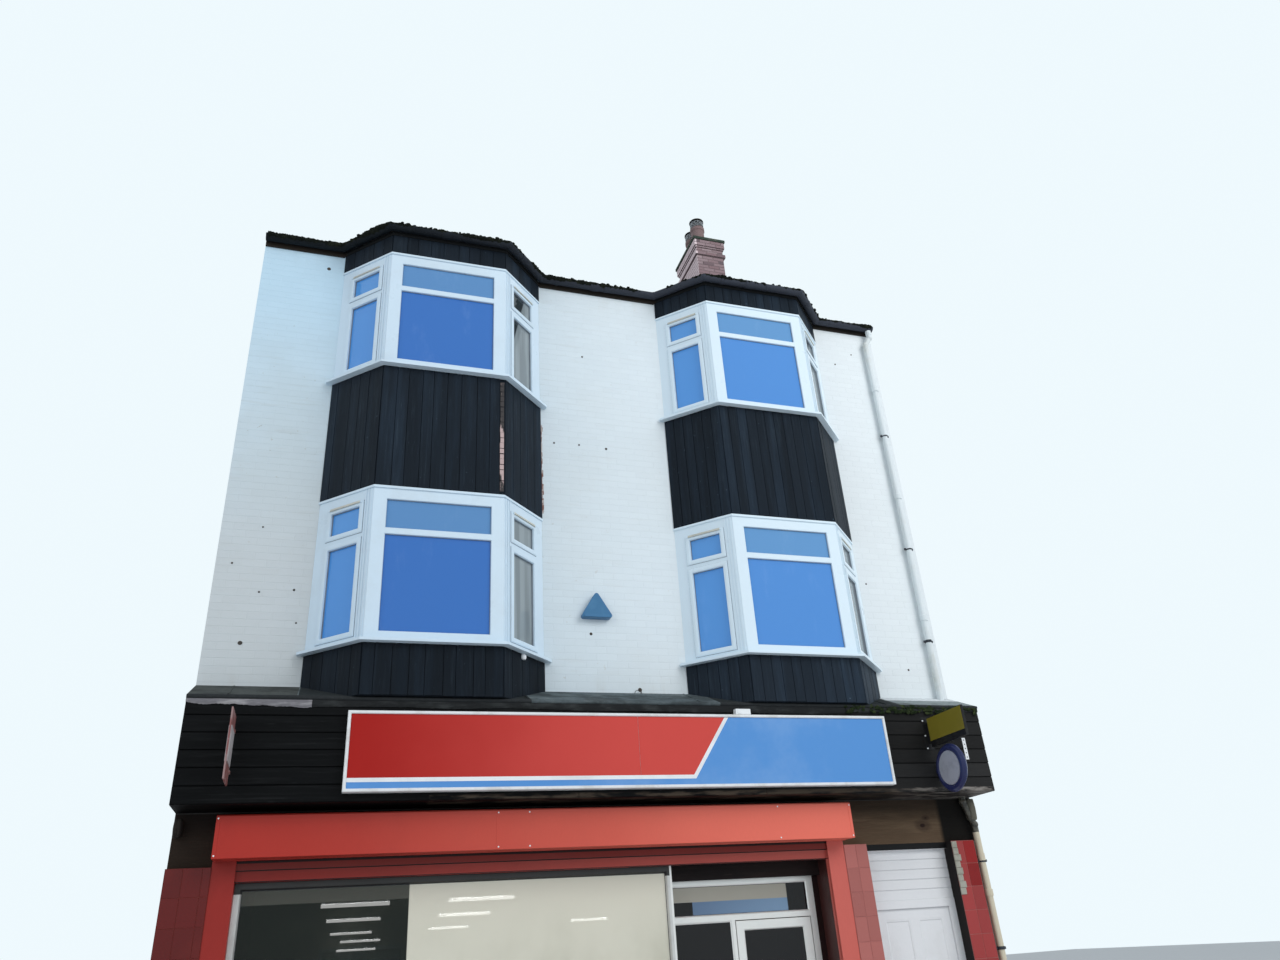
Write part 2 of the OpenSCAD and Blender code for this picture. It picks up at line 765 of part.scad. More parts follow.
module rear_rainwater() {
    length = house_w;
    x = -house_w/2 + 200;
    y = rear_y + gutter_r;
    top = gutter_top_z;
    color("black") {
        translate([-length/2, rear_y + seat, top]) rotate([90, 0, 90])
            linear_extrude(length) gutter_section();
        pipe_run([[x, y, 90], [x, y, top - gutter_r + gutter_t/2]], pipe_r);
        for (z = [2000:2400:top - 1000])
            plate(x - 14, x + 14, rear_y, y - pipe_r + 8, z, z + 30);
    }
}

module fascia_boards() {
    x0 = -house_w/2;
    x1 = house_w/2;
    face_y = front_y - fascia_reach;
    board_h = fascia_h/fascia_boards_n;
    color("#1c1f22") difference() {
        plate(x0, x1, face_y, front_y, fascia_z, fascia_z + fascia_h);
        plate(x0 + fascia_t, x1 - fascia_t, face_y + fascia_t, front_y + cut,
            fascia_z + fascia_t/2, fascia_z + fascia_h + cut);
        for (k = [1:fascia_boards_n - 1])
            plate(x0 - cut, x1 + cut, face_y - cut, face_y + 6,
                fascia_z + k*board_h - 3, fascia_z + k*board_h + 3);
        translate([upper_pipe_x, front_y - pipe_r - 25, 0])
            cylinder(h = fascia_z + fascia_t, r = pipe_r + 3, $fn = 32);
    }
}

// Sloping lead cover of the fascia box with a rolled front edge
module fascia_flashing() {
    top = fascia_z + fascia_h;
    edge_y = front_y - fascia_reach - 18;
    wall_z = top + 225;
    t = 22;
    roll = 18;
    color("slategray") difference() {
        union() {
            along_street(-house_w/2, house_w/2) polygon([
                [edge_y, top], [edge_y + 60, top], [front_y, wall_z - t],
                [front_y, wall_z], [edge_y, top + t]]);
            translate([-house_w/2, edge_y + roll/2, top + roll/2]) rotate([0, 90, 0])
                cylinder(h = house_w, r = roll, $fn = 32);
        }
        for (i = [0, 1]) at_bay(i) bay_fill(-seat, apron_z - seat, apron_z + 400, cut);
        translate([upper_pipe_x, front_y - pipe_r - 25, 0])
            cylinder(h = plate_z, r = pipe_r + 3, $fn = 32);
        plate(-house_w, house_w, front_y - fascia_reach, front_y + cut, 0, top);
    }
}

module sign_panel() {
    rim = 28;
    y0 = front_y - fascia_reach - sign_t;
    color("firebrick") difference() {
        plate(sign_x0, sign_x0 + sign_w, y0, y0 + sign_t, sign_z, sign_z + sign_h);
        plate(sign_x0 + rim, sign_x0 + sign_w - rim, y0 - cut, y0 + 12,
            sign_z + rim, sign_z + sign_h - rim);
    }
}

module projecting_board() {
    x = -house_w/2 + 405;
    far_y = front_y - fascia_reach;
    color("rosybrown") {
        plate(x - 6, x + 6, far_y - 400, far_y - 50, fascia_z + 130, fascia_z + 690);
        for (z = [230, 560]) plate(x - 12, x + 12, far_y - 60, far_y, fascia_z + z, fascia_z + z + 25);
    }
}

module box_sign() {
    x0 = end_sign_x;
    far_y = front_y - fascia_reach;
    color("goldenrod") {
        plate(x0, x0 + 30, far_y - 640, far_y - 40, fascia_z + 440, fascia_z + 740);
        plate(x0 - 45, x0 + 55, far_y - 8, far_y, fascia_z + 420, fascia_z + 760);
        plate(x0 + 5, x0 + 25, far_y - 45, far_y - 5, fascia_z + 480, fascia_z + 700);
    }
}

module round_sign() {
    x0 = end_sign_x;
    r = 235;
    thick = 75;
    cz = fascia_z + 196;
    far_y = front_y - fascia_reach;
    color("darkblue") {
        translate([x0, far_y - r - 12, cz]) rotate([0, 90, 0]) rotate_extrude($fn = 96)
            polygon([[0, 12], [r - 62, 12], [r - 50, 0], [r - 22, 6], [r, 30], [r, thick - 30],
                [r - 22, thick - 6], [r - 50, thick], [r - 62, thick - 12], [0, thick - 12]]);
        plate(x0 + 20, x0 + 55, far_y - 40, far_y, cz - 20, cz + 20);
    }
}

module alarm_box() {
    w = 320;
    h = 270;
    x = -210;
    z = 5015;
    r = 26;
    color("steelblue") translate([x, front_y, z]) rotate([90, 0, 0]) linear_extrude(75) hull() {
        translate([-w/2 + r, r]) circle(r = r, $fn = 32);
        translate([w/2 - r, r]) circle(r = r, $fn = 32);
        translate([0, h - r]) circle(r = r, $fn = 32);
    }
}

module shutter_box() {
    y0 = front_y - shutter_reach;
    color("firebrick") along_street(shutter_x0, shutter_x1) polygon([
        [y0, shutter_z], [y0 + 90, shutter_z], [y0 + 90, shutter_z + 3], [front_y - 110, shutter_z + 3],
        [front_y - 110, shutter_z], [front_y, shutter_z], [front_y, shutter_z + shutter_h],
        [y0 + 12, shutter_z + shutter_h], [y0, shutter_z + shutter_h - 12]]);
}

module shutter_guides() {
    y0 = front_y - guide_reach;
    color("firebrick") difference() {
        union() {
            for (x = [left_guide_x, right_guide_x])
                plate(x, x + guide_w, y0, front_y, slab_t, shutter_z - seat);
            plate(left_guide_x, left_guide_x + guide_w, front_y - cut, front_y + 60, slab_t, beam_z);
            plate(right_guide_x, right_guide_x + guide_w, front_y - cut, -room_y, slab_t, beam_z);
            for (rail = [[40, shop_head_z], [20, shutter_z - 75]])
                plate(left_guide_x + cut, right_guide_x + cut, y0 + rail[0], front_y,
                    rail[1], shutter_z - seat);
        }
        for (x = [left_guide_x + guide_w - 30, right_guide_x - cut])
            plate(x, x + 30 + cut, y0 + 15, y0 + 35, slab_t - cut, shop_head_z);
    }
}

// Dark timber over the window and the entrance, under the beam
module shopfront_head() {
    x0 = left_guide_x + guide_w;
    color("#241a18") {
        plate(x0, right_guide_x, front_y, -room_y, shop_head_z, beam_z);
        plate(entrance_x0, right_guide_x, entrance_y - 60, -room_y, entrance_head_z, shop_head_z + cut);
    }
}

module shop_window_frame() {
    x0 = left_guide_x + guide_w;
    x1 = entrance_x0;
    z0 = slab_t + riser_h;
    y1 = shop_front_y + alu_d;
    color("silver") {
        plate(x0, x1, shop_front_y, y1, z0, z0 + alu_w + 15);
        plate(x0, x1, shop_front_y, y1, shop_head_z - alu_w, shop_head_z);
        plate(x0, x0 + alu_w, shop_front_y, y1, z0, shop_head_z);
        plate(x1 - alu_w, x1, shop_front_y, entrance_y + alu_d, z0, shop_head_z);
    }
}

module shop_window_glass() {
    y = shop_front_y + alu_d/2;
    color("lightsteelblue") plate(left_guide_x + guide_w + alu_w + seat, entrance_x0 - alu_w - seat,
        y - glass_t/2, y + glass_t/2, slab_t + riser_h + alu_w + 15 + seat, shop_head_z - alu_w - seat);
}

module stall_riser() {
    y1 = shop_front_y + alu_d + 30;
    color("firebrick") {
        plate(left_guide_x + guide_w, entrance_x0, shop_front_y, y1, slab_t, slab_t + riser_h - 30);
        plate(left_guide_x + guide_w, entrance_x0, shop_front_y - 15, y1, slab_t + riser_h - 35,
            slab_t + riser_h);
        plate(entrance_x0 - 100, entrance_x0, shop_front_y, entrance_y + alu_d, slab_t,
            slab_t + riser_h);
    }
}

// Places a hinge at three levels up a door hung on its right edge at x1, with its face at y
module at_hinges(x1, y, door_h) {
    z0 = slab_t + door_gap;
    for (z = [z0 + hinge_up, z0 + (door_h - hinge_h)/2, z0 + door_h - hinge_up - hinge_h])
        translate([x1 + door_gap/2, y + leaf_t + hinge_r, z]) children();
}

// The leaf's half of a hinge: the middle knuckle, bored for the pin, and its plate
module door_knuckle() {
    z0 = hinge_h/3 + seat;
    z1 = hinge_h*2/3 - seat;
    difference() {
        union() {
            translate([0, 0, z0]) cylinder(h = z1 - z0, r = hinge_r, $fn = 32);
            plate(-hinge_plate_w, 0, -hinge_r, -hinge_r + hinge_plate_t, z0, z1);
        }
        cylinder(h = hinge_h, r = hinge_pin_r + seat, $fn = 32);
    }
}

// The frame's half of a hinge: the pin with its two outer knuckles and their plates
module frame_knuckles() {
    cylinder(h = hinge_h, r = hinge_pin_r, $fn = 32);
    for (z = [0, hinge_h*2/3]) {
        translate([0, 0, z]) cylinder(h = hinge_h/3, r = hinge_r, $fn = 32);
        plate(0, hinge_plate_w, -hinge_r, -hinge_r + hinge_plate_t, z, z + hinge_h/3);
    }
}

module entrance_frame() {
    y1 = entrance_y + leaf_t;
    x1 = right_guide_x;
    jamb_x = shop_door_x0 - door_gap - side_light_bar;
    color("silver") {
        difference() {
            plate(entrance_x0, x1, entrance_y, y1, slab_t, entrance_head_z);
            plate(entrance_x0 + alu_bar, shop_door_x1 + door_gap, entrance_y - cut, y1 + cut,
                transom_z + alu_w, entrance_head_z - alu_bar);
            plate(entrance_x0 + alu_bar, jamb_x, entrance_y - cut, y1 + cut,
                slab_t + side_light_rail, transom_z);
            plate(shop_door_x0 - door_gap, shop_door_x1 + door_gap, entrance_y - cut, y1 + cut,
                slab_t - cut, transom_z);
        }
        at_hinges(shop_door_x1, entrance_y, shop_door_h) frame_knuckles();
    }
}

module entrance_glass() {
    y = entrance_y + leaf_t/2;
    x0 = entrance_x0 + alu_bar + seat;
    jamb_x = shop_door_x0 - door_gap - side_light_bar;
    color("lightsteelblue") {
        plate(x0, shop_door_x1 + door_gap - seat, y - glass_t/2, y + glass_t/2,
            transom_z + alu_w + seat, entrance_head_z - alu_bar - seat);
        plate(x0, jamb_x - seat, y - glass_t/2, y + glass_t/2,
            slab_t + side_light_rail + seat, transom_z - seat);
    }
}

module shop_door_leaf() {
    z0 = slab_t + door_gap;
    color("silver") {
        difference() {
            plate(shop_door_x0, shop_door_x1, entrance_y, entrance_y + leaf_t, z0, z0 + shop_door_h);
            plate(shop_door_x0 + shop_stile, shop_door_x1 - shop_stile, entrance_y - cut,
                entrance_y + leaf_t + cut, z0 + shop_bottom_rail, z0 + shop_door_h - shop_stile);
        }
        at_hinges(shop_door_x1, entrance_y, shop_door_h) door_knuckle();
    }
}

module shop_door_glass() {
    z0 = slab_t + door_gap;
    y = entrance_y + leaf_t/2;
    color("lightsteelblue") plate(shop_door_x0 + shop_stile + seat, shop_door_x1 - shop_stile - seat,
        y - glass_t/2, y + glass_t/2, z0 + shop_bottom_rail + seat, z0 + shop_door_h - shop_stile - seat);
}

// Upright pull bar on the street side of the shop door
module shop_door_handle() {
    x = shop_door_x0 + shop_stile/2;
    y = entrance_y - 55;
    z0 = slab_t + 850;
    bar = 450;
    color("gainsboro") {
        translate([x, y, z0]) cylinder(h = bar, r = 12, $fn = 32);
        for (z = [z0 + 40, z0 + bar - 40]) translate([x, y, z]) rotate([-90, 0, 0])
            cylinder(h = 55, r = 9, $fn = 32);
    }
}

module side_door_frame() {
    x1 = side_x0 + side_bay_w;
    y0 = side_door_y - side_frame_reach;
    y1 = side_door_y + leaf_t;
    color("white") {
        difference() {
            plate(side_x0, x1, y0, y1, slab_t, side_frame_top);
            plate(side_door_x0 - door_gap, side_door_x1 + door_gap, side_door_y - stop_gap, y1 + cut,
                slab_t - cut, side_frame_top - side_head_h);
            plate(side_door_x0 + stop_lap, side_door_x1 - stop_lap, y0 - cut, y1,
                slab_t - cut, side_frame_top - side_head_h - door_gap - stop_lap);
        }
        at_hinges(side_door_x1, side_door_y, side_door_h) frame_knuckles();
    }
}

// Horizontal boards that close the opening above the side door
module side_door_boards() {
    x1 = side_x0 + side_bay_w;
    y0 = side_door_y - 15;
    pitch = (side_boards_top - side_frame_top)/side_boards_n;
    color("white") difference() {
        plate(side_x0, x1, y0, y0 + 60, side_frame_top, side_boards_top);
        for (k = [1:side_boards_n - 1])
            plate(side_x0 - cut, x1 + cut, y0 - cut, y0 + 8,
                side_frame_top + k*pitch - 4, side_frame_top + k*pitch + 4);
    }
    color("black") plate(side_x0, x1, front_y, -room_y, side_boards_top, beam_z);
}

module side_door_leaf() {
    z0 = slab_t + door_gap;
    x0 = side_door_x0;
    x1 = side_door_x1;
    panel_h = (side_door_h - 4*110)/3;
    color("white") {
        difference() {
            plate(x0, x1, side_door_y, side_door_y + leaf_t, z0, z0 + side_door_h);
            for (k = [0:2]) for (c = [0, 1])
                plate(x0 + 100 + c*(x1 - x0 - 100)/2, x0 + (x1 - x0)/2 - 50 + c*(x1 - x0 - 100)/2,
                    side_door_y - cut, side_door_y + 8,
                    z0 + 110 + k*(panel_h + 110), z0 + 110 + k*(panel_h + 110) + panel_h);
        }
        at_hinges(x1, side_door_y, side_door_h) door_knuckle();
    }
}

module side_door_handle() {
    x = side_door_x0 + 60;
    color("gainsboro") translate([x, side_door_y, slab_t + 1000]) rotate([90, 0, 0]) {
        cylinder(h = 8, r = 26, $fn = 32);
        cylinder(h = 50, r = 10, $fn = 32);
        translate([0, 0, 40]) rotate([0, 90, 0]) cylinder(h = 110, r = 9, $fn = 32);
    }
}

// Tiled pier whose back half stands beside the party wall
module end_pilaster(x0, x1, wall_x) {
    plate(x0, x1, front_y - pilaster_reach, front_y, 0, beam_z);
    if (wall_x < 0) plate(wall_x, x1, front_y - cut, -room_y, 0, beam_z);
    if (wall_x > 0) plate(x0, wall_x, front_y - cut, -room_y, 0, beam_z);
}

module left_pilaster() {
    color("firebrick") end_pilaster(-house_w/2, left_guide_x, -room_x);
}

module middle_pilaster() {
    color("firebrick")
        plate(middle_pilaster_x, side_x0, front_y - pilaster_reach, -room_y, 0, beam_z);
}

module right_pilaster() {
    color("firebrick") end_pilaster(right_pilaster_x, right_pilaster_x + right_pilaster_w, room_x);
}

module rear_window_frames() {
    y0 = room_y + 60;
    color("white") for (w = rear_windows()) {
        x0 = w[0] - w[2]/2;
        x1 = w[0] + w[2]/2;
        bar_z = w[1] + w[3]*0.7;
        ring_frame(x0, x1, w[1], w[1] + w[3], rear_frame_w, y0, y0 + frame_d);
        plate(x0 + cut, x1 - cut, y0, y0 + frame_d, bar_z, bar_z + 50);
        plate(w[0] - 25, w[0] + 25, y0, y0 + frame_d, w[1] + cut, bar_z + cut);
        plate(x0, x1, y0 + frame_d - cut, rear_y + 30, w[1], w[1] + 40);
    }
}

module rear_window_glass() {
    y0 = room_y + 60 + frame_d/2;
    f = rear_frame_w + seat;
    color("lightsteelblue") for (w = rear_windows()) {
        x0 = w[0] - w[2]/2;
        x1 = w[0] + w[2]/2;
        bar_z = w[1] + w[3]*0.7;
        plate(x0 + f, x1 - f, y0 - unit_t/2, y0 + unit_t/2, bar_z + 50 + seat, w[1] + w[3] - f);
        plate(x0 + f, w[0] - 25 - seat, y0 - unit_t/2, y0 + unit_t/2, w[1] + f, bar_z - seat);
        plate(w[0] + 25 + seat, x1 - f, y0 - unit_t/2, y0 + unit_t/2, w[1] + f, bar_z - seat);
    }
}

module rear_door() {
    x0 = rear_door_x - rear_door_w/2;
    x1 = rear_door_x + rear_door_w/2;
    y0 = room_y + 60;
    color("white") {
        ring_frame(x0, x1, slab_t, slab_t + rear_door_h, 55, y0, y0 + frame_d + 20);
        difference() {
            plate(x0 + 50, x1 - 50, y0 + 20, y0 + 20 + leaf_t, slab_t + 50, slab_t + rear_door_h - 50);
            for (z = [slab_t + rear_rail_h, slab_t + 2*rear_rail_h + rear_panel_h])
                plate(x0 + 170, x1 - 170, y0 + 20 + leaf_t - 8, y0 + 20 + leaf_t + cut, z, z + rear_panel_h);
        }
    }
}

ground_slab();
left_party_wall();
right_party_wall();
front_wall();
rear_wall();
shopfront_beam();
first_floor();
second_floor();
top_ceiling();
front_roof_slope();
rear_roof_slope();
ridge_tiles();
chimney_breast();
chimney_stack();
chimney_cap();
chimney_pots();
pot_cowls();
left_bay_boarding();
right_bay_boarding();
bay_roofs();
left_bay_lower_window();
left_bay_upper_window();
right_bay_lower_window();
right_bay_upper_window();
left_bay_glass();
right_bay_glass();
bay_sills();
front_gutter();
eaves_board();
front_downpipe();
rear_rainwater();
fascia_boards();
fascia_flashing();
sign_panel();
projecting_board();
box_sign();
round_sign();
alarm_box();
shutter_box();
shutter_guides();
shopfront_head();
shop_window_frame();
shop_window_glass();
stall_riser();
entrance_frame();
entrance_glass();
shop_door_leaf();
shop_door_glass();
shop_door_handle();
side_door_frame();
side_door_boards();
side_door_leaf();
side_door_handle();
left_pilaster();
middle_pilaster();
right_pilaster();
rear_window_frames();
rear_window_glass();
rear_door();
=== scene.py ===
"""Looks of a three-storey terraced shop house with two canted bay windows and a red shopfront."""
import logging
import math
from dataclasses import dataclass, field
from enum import Enum
from functools import lru_cache
from typing import Callable, Dict, List, Optional, Sequence, Tuple, Union

import bmesh
import bpy
import numpy as np
from mathutils import Matrix
from numpy.random import Generator, default_rng


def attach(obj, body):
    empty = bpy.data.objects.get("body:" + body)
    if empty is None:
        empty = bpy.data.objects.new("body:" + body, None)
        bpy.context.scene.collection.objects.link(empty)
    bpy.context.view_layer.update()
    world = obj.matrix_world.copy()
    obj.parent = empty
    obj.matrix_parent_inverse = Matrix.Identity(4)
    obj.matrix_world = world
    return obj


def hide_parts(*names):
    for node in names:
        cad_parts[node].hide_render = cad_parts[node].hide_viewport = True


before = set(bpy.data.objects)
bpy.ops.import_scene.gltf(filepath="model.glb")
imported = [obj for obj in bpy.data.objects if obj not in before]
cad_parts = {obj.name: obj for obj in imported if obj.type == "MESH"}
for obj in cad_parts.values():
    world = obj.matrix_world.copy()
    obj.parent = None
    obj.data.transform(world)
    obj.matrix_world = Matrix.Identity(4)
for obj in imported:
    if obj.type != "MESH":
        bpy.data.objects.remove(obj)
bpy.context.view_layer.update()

Colour = Tuple[float, float, float]
Point = Tuple[float, float, float]
Span = Tuple[float, float]
Box = Tuple[float, float, float, float]
Spans = Callable[[float, float], List[Span]]
Amount = Union[float, np.ndarray]

INDOORS: Colour = (0.72, 0.7, 0.66)

log = logging.getLogger("shop_house")


# Shader maths

def operator(name: str, flipped: bool = False) -> Callable[["Value", "Number"], "Value"]:
    """A method of Value that adds one Math node, with the other operand first if flipped."""
    def method(self: "Value", other: "Number") -> "Value":
        """The operation's result, which is one or zero for a comparison."""
        return self.maths(name, first=other) if flipped else self.maths(name, other)
    return method


class Value:
    """A socket of a finish's node tree that takes part in written sums."""

    def __init__(self, tree: "Tree", socket: bpy.types.NodeSocket) -> None:
        """Keeps the tree that the socket belongs to, and the socket."""
        self.tree, self.socket = tree, socket

    def maths(self, operation: str, *others: "Number", first: Optional[float] = None) -> "Value":
        """Adds one Math node.

        Args:
            operation: The node's operation.
            others: What follows this value in the sum.
            first: What comes before this value, for the reflected forms.

        Returns:
            The node's result.
        """
        terms = (self, *others) if first is None else (first, self)
        return self.tree.node("Math", {"operation": operation}, dict(enumerate(terms)))

    __add__, __mul__ = operator("ADD"), operator("MULTIPLY")
    __radd__, __rmul__ = __add__, __mul__
    __sub__, __rsub__ = operator("SUBTRACT"), operator("SUBTRACT", True)
    __truediv__ = operator("DIVIDE")
    __gt__, __lt__ = operator("GREATER_THAN"), operator("LESS_THAN")

    def within(self, low: float, high: float) -> "Value":
        """One between two limits, else zero."""
        return (self > low) * (self < high)

    def rise(self, low: float, high: float) -> "Value":
        """A smooth step: zero at low, one at high, and the other way where low is the higher."""
        return self.tree.node("MapRange", {"interpolation_type": "SMOOTHSTEP"},
            {"Value": self, "From Min": low, "From Max": high})

    def scaled(self, factor: "Number") -> "Value":
        """This colour made brighter or darker, by a Vector Math node."""
        return self.tree.node("VectorMath", {"operation": "SCALE"}, {0: self, "Scale": factor})

    def under(self, factor: "Number", paint: "Paint") -> "Value":
        """This colour with another over it, as far as the factor goes."""
        return self.tree.mix(factor, self, paint)


Number = Union[Value, float]
Paint = Union[Value, Colour]


class Tree:
    """The node tree of one finish, around one Principled shader."""

    def __init__(self, name: str) -> None:
        """Makes an empty material of that name with its shader and output."""
        self.material = bpy.data.materials.new(name)
        self.material.use_nodes = True
        self.graph = self.material.node_tree
        self.graph.nodes.clear()
        self.shader = self.graph.nodes.new("ShaderNodeBsdfPrincipled")
        output = self.graph.nodes.new("ShaderNodeOutputMaterial")
        self.graph.links.new(self.shader.outputs[0], output.inputs[0])
        self.place = self.node("TexCoord", output="Object")
        parts = self.node("SeparateXYZ", inputs={0: self.place}).socket.node
        self.x, self.y, self.z = (Value(self, socket) for socket in parts.outputs)

    def node(self, kind: str, settings: Optional[dict] = None, inputs: Optional[dict] = None,
            output: Union[int, str] = 0) -> Value:
        """Adds one node.

        Args:
            kind: The node's type, without the common start.
            settings: Its settings, set first; "stops" gives a ramp's (place, colour) pairs.
            inputs: The values or links of its sockets, by name or number.
            output: The socket that the result comes from.

        Returns:
            The output as a value.
        """
        made = self.graph.nodes.new("ShaderNode" + kind)
        for name, setting in (settings or {}).items():
            if name != "stops":
                setattr(made, name, setting)
                continue
            ramp = made.color_ramp.elements
            for k, (place, colour) in enumerate(setting):
                stop = ramp[k] if k < 2 else ramp.new(place)
                stop.position, stop.color = place, (*colour, 1.0)
        for key, given in (inputs or {}).items():
            self.feed(made.inputs[key], given)
        return Value(self, made.outputs[output])

    def feed(self, socket: bpy.types.NodeSocket, given: Union[Number, Paint]) -> None:
        """Links a value to a socket, or writes a number or colour on it."""
        if isinstance(given, Value):
            self.graph.links.new(given.socket, socket)
        elif isinstance(given, tuple) and len(socket.default_value) == 4:
            socket.default_value = (*given, 1.0)
        else:
            socket.default_value = given

    def noise(self, scale: float, detail: float = 4.0, stretch: Point = (1.0, 1.0, 1.0),
            roughness: float = 0.55, shift: float = 0.0) -> Value:
        """Cloudy noise around one half on Object coordinates.

        Args:
            scale: Lumps to the metre.
            detail: Octaves.
            stretch: Scale along each axis; a small number draws the lumps out along it.
            roughness: Strength of the finer octaves.
            shift: Moves the pattern, so that two noises differ.

        Returns:
            The noise.
        """
        place = self.node("Mapping", {}, {"Vector": self.place, "Scale": stretch,
            "Location": (shift, shift, shift)})
        return self.node("TexNoise", {}, {"Vector": place, "Scale": scale,
            "Detail": detail, "Roughness": roughness})

    def tone(self) -> Value:
        """Each block's own number between zero and one; zero on a piece without it."""
        return self.node("Attribute", {"attribute_name": "tone"}, output="Fac")

    def mix(self, factor: Number, low: Paint, high: Paint) -> Value:
        """A colour between two: low where the factor is zero, high where it is one."""
        return self.node("Mix", {"data_type": "RGBA"}, {0: factor, 6: low, 7: high}, output=2)

    def bump(self, height: Number, distance: float) -> None:
        """Lifts the surface by height times distance, in metres."""
        self.shade(normal=self.node("Bump", {}, {"Height": height, "Distance": distance,
            "Strength": 1.0}))

    def shade(self, **sockets: Union[Number, Paint]) -> bpy.types.Material:
        """Feeds the shader's sockets, named with low lines, and returns the material."""
        for name, given in sockets.items():
            socket = name.replace("_", " ").title().replace("Ior", "IOR")
            self.feed(self.shader.inputs[socket], given)
        return self.material


@dataclass(frozen=True)
class Finish:
    """A weathered surface: a base colour, worn patches, a fine grain and each block's own tone.

    Grain is given as its scale, tint and lift. Where a second colour along x is given, the surface
    takes it on from the left to the right end of the span: painted light, brighter towards the
    right, together with some real fading.
    """

    name: str
    base: Colour
    worn: Colour
    worn_share: float = 0.5
    patch_scale: float = 1.6
    roughness: float = 0.55
    gloss: float = 0.5
    stretch: Point = (1.0, 1.0, 1.0)
    grain: Point = (70.0, 0.2, 0.0008)
    tone_spread: float = 0.0
    metallic: float = 0.0
    coat: float = 0.0
    glow: float = 0.0
    lit_and_faded: Optional[Colour] = None
    span: Span = (-3.6, 3.0)

    def across(self, tree: Tree, colour: Value) -> Value:
        """The colour, going over to the second one along x: painted light brighter to the right,
        with some real fading.
        """
        if self.lit_and_faded is None:
            return colour
        drift = tree.noise(0.8, 3.0, shift=5.5) - 0.5
        return colour.under((tree.x + drift).rise(*self.span), self.lit_and_faded)

    def colour(self, tree: Tree) -> Value:
        """Base colour with worn patches."""
        patches = tree.noise(self.patch_scale, 6.0, self.stretch, 0.62).rise(0.46, 0.66)
        return tree.mix(patches * self.worn_share, self.base, self.worn)

    def height(self, tree: Tree, grain: Value) -> Value:
        """What lifts the surface: the grain."""
        return grain

    def make(self) -> bpy.types.Material:
        """Writes the finish as a material."""
        tree = Tree(self.name)
        scale, tint, lift = self.grain
        grain = tree.noise(scale, 5.0, self.stretch, 0.6, 3.1)
        light = 1.0 + tint * (grain - 0.5)
        if self.tone_spread:
            light = light * (1.0 + self.tone_spread * (tree.tone() - 0.5))
        drift = tree.noise(self.patch_scale * 2.3, 4.0, self.stretch, 0.5, 7.7)
        tree.bump(self.height(tree, grain), lift)
        if self.glow:
            tree.shade(emission_color=(1.0, 1.0, 0.98), emission_strength=self.glow)
        return tree.shade(metallic=self.metallic, coat_weight=self.coat,
            specular_ior_level=self.gloss, base_color=self.across(tree,
            self.colour(tree)).scaled(light), roughness=self.roughness + 0.15 * (drift - 0.5))


@dataclass(frozen=True)
class TwoPart(Finish):
    """A finish that is of a second colour past a limit on one axis."""

    axis: str = "z"
    limit: float = 0.0
    below: bool = False
    other: Colour = (0.0, 0.0, 0.0)

    def colour(self, tree: Tree) -> Value:
        """The worn colour, or the second one below or above the limit."""
        place = getattr(tree, self.axis)
        past = place < self.limit if self.below else place > self.limit
        return super().colour(tree).under(past, self.other)


@dataclass(frozen=True)
class PaintedWall(Finish):
    """White masonry paint: rain grime under the gutter and over the lead, and plaster indoors."""

    grime_and_shade: Colour = (0.36, 0.37, 0.33)
    foot: float = 4.24
    head: float = 9.32
    inner: float = -4.48

    def colour(self, tree: Tree) -> Value:
        """Paint with cream and grey drifts, short level shadows at the courses, and grime."""
        streaks = tree.noise(3.0, 5.0, (1.0, 1.0, 0.16), 0.6, 1.7).rise(0.5, 0.72)
        near_foot = tree.z.rise(self.foot + 0.22, self.foot) * streaks
        near_head = tree.z.rise(self.head - 0.35, self.head) * streaks
        courses = tree.noise(2.6, 3.0, (1.0, 1.0, 9.0), 0.5, 5.2).rise(0.58, 0.72)
        specks = tree.noise(23.0, 2.0, (1.0, 1.0, 1.0), 0.5, 9.9).rise(0.735, 0.76)
        paint = super().colour(tree)
        # One dark colour for rain grime near the foot and head, painted shadow under the courses,
        # and dark specks.
        for share in (near_foot * 0.75 + near_head * 0.4, courses * 0.14, specks * 0.55):
            paint = paint.under(share, self.grime_and_shade)
        return paint

    def across(self, tree: Tree, colour: Value) -> Value:
        """The paint going paler to the right, bluer then greyer down the left end as painted light
        and shade, and dark behind the fascia as painted shade.
        """
        colour = super().across(tree, colour)
        left = tree.x.rise(-1.2, -2.9)
        # Painted light at the left end: blue sky light towards the top, grey shade lower down;
        # painted shade behind the fascia; plaster indoors.
        for share, tint in ((left * tree.z.rise(6.9, 9.0) * 0.7, (0.49, 0.7, 0.85)), (left
                * tree.z.rise(7.3, 5.2) * 0.8, (0.555, 0.58, 0.585)), (tree.z < self.foot - 0.3,
                (0.03, 0.028, 0.026)), (tree.y > self.inner, INDOORS)):
            colour = colour.under(share, tint)
        return colour


@dataclass(frozen=True)
class Brick(Finish):
    """Fired brick: each brick takes its own place on a ramp of reds, with soot in patches."""

    pale: Colour = (0.46, 0.24, 0.17)
    soot: Colour = (0.06, 0.05, 0.05)
    soot_share: float = 0.45
    left_face: float = -9.0
    lit_face_tint: Colour = (0.5, 0.4, 0.4)

    def colour(self, tree: Tree) -> Value:
        """A ramp over the tone, then worn patches, then soot, and a paler left face as painted
        light.
        """
        stops = (0.0, self.soot), (0.12, self.base), (0.85, self.pale), (1.0, self.worn)
        own = tree.node("ValToRGB", {"stops": stops}, {0: tree.tone()})
        speckle = tree.noise(95.0, 3.0, shift=2.0).rise(0.55, 0.72)
        dirt = tree.noise(self.patch_scale, 7.0, shift=4.0).rise(0.45, 0.8)
        own = own.under(speckle * 0.35, self.worn).under(dirt * self.soot_share, self.soot)
        # Painted light: the left face of the stack is made paler.
        return own.under((tree.x < self.left_face) * 0.7, self.lit_face_tint)


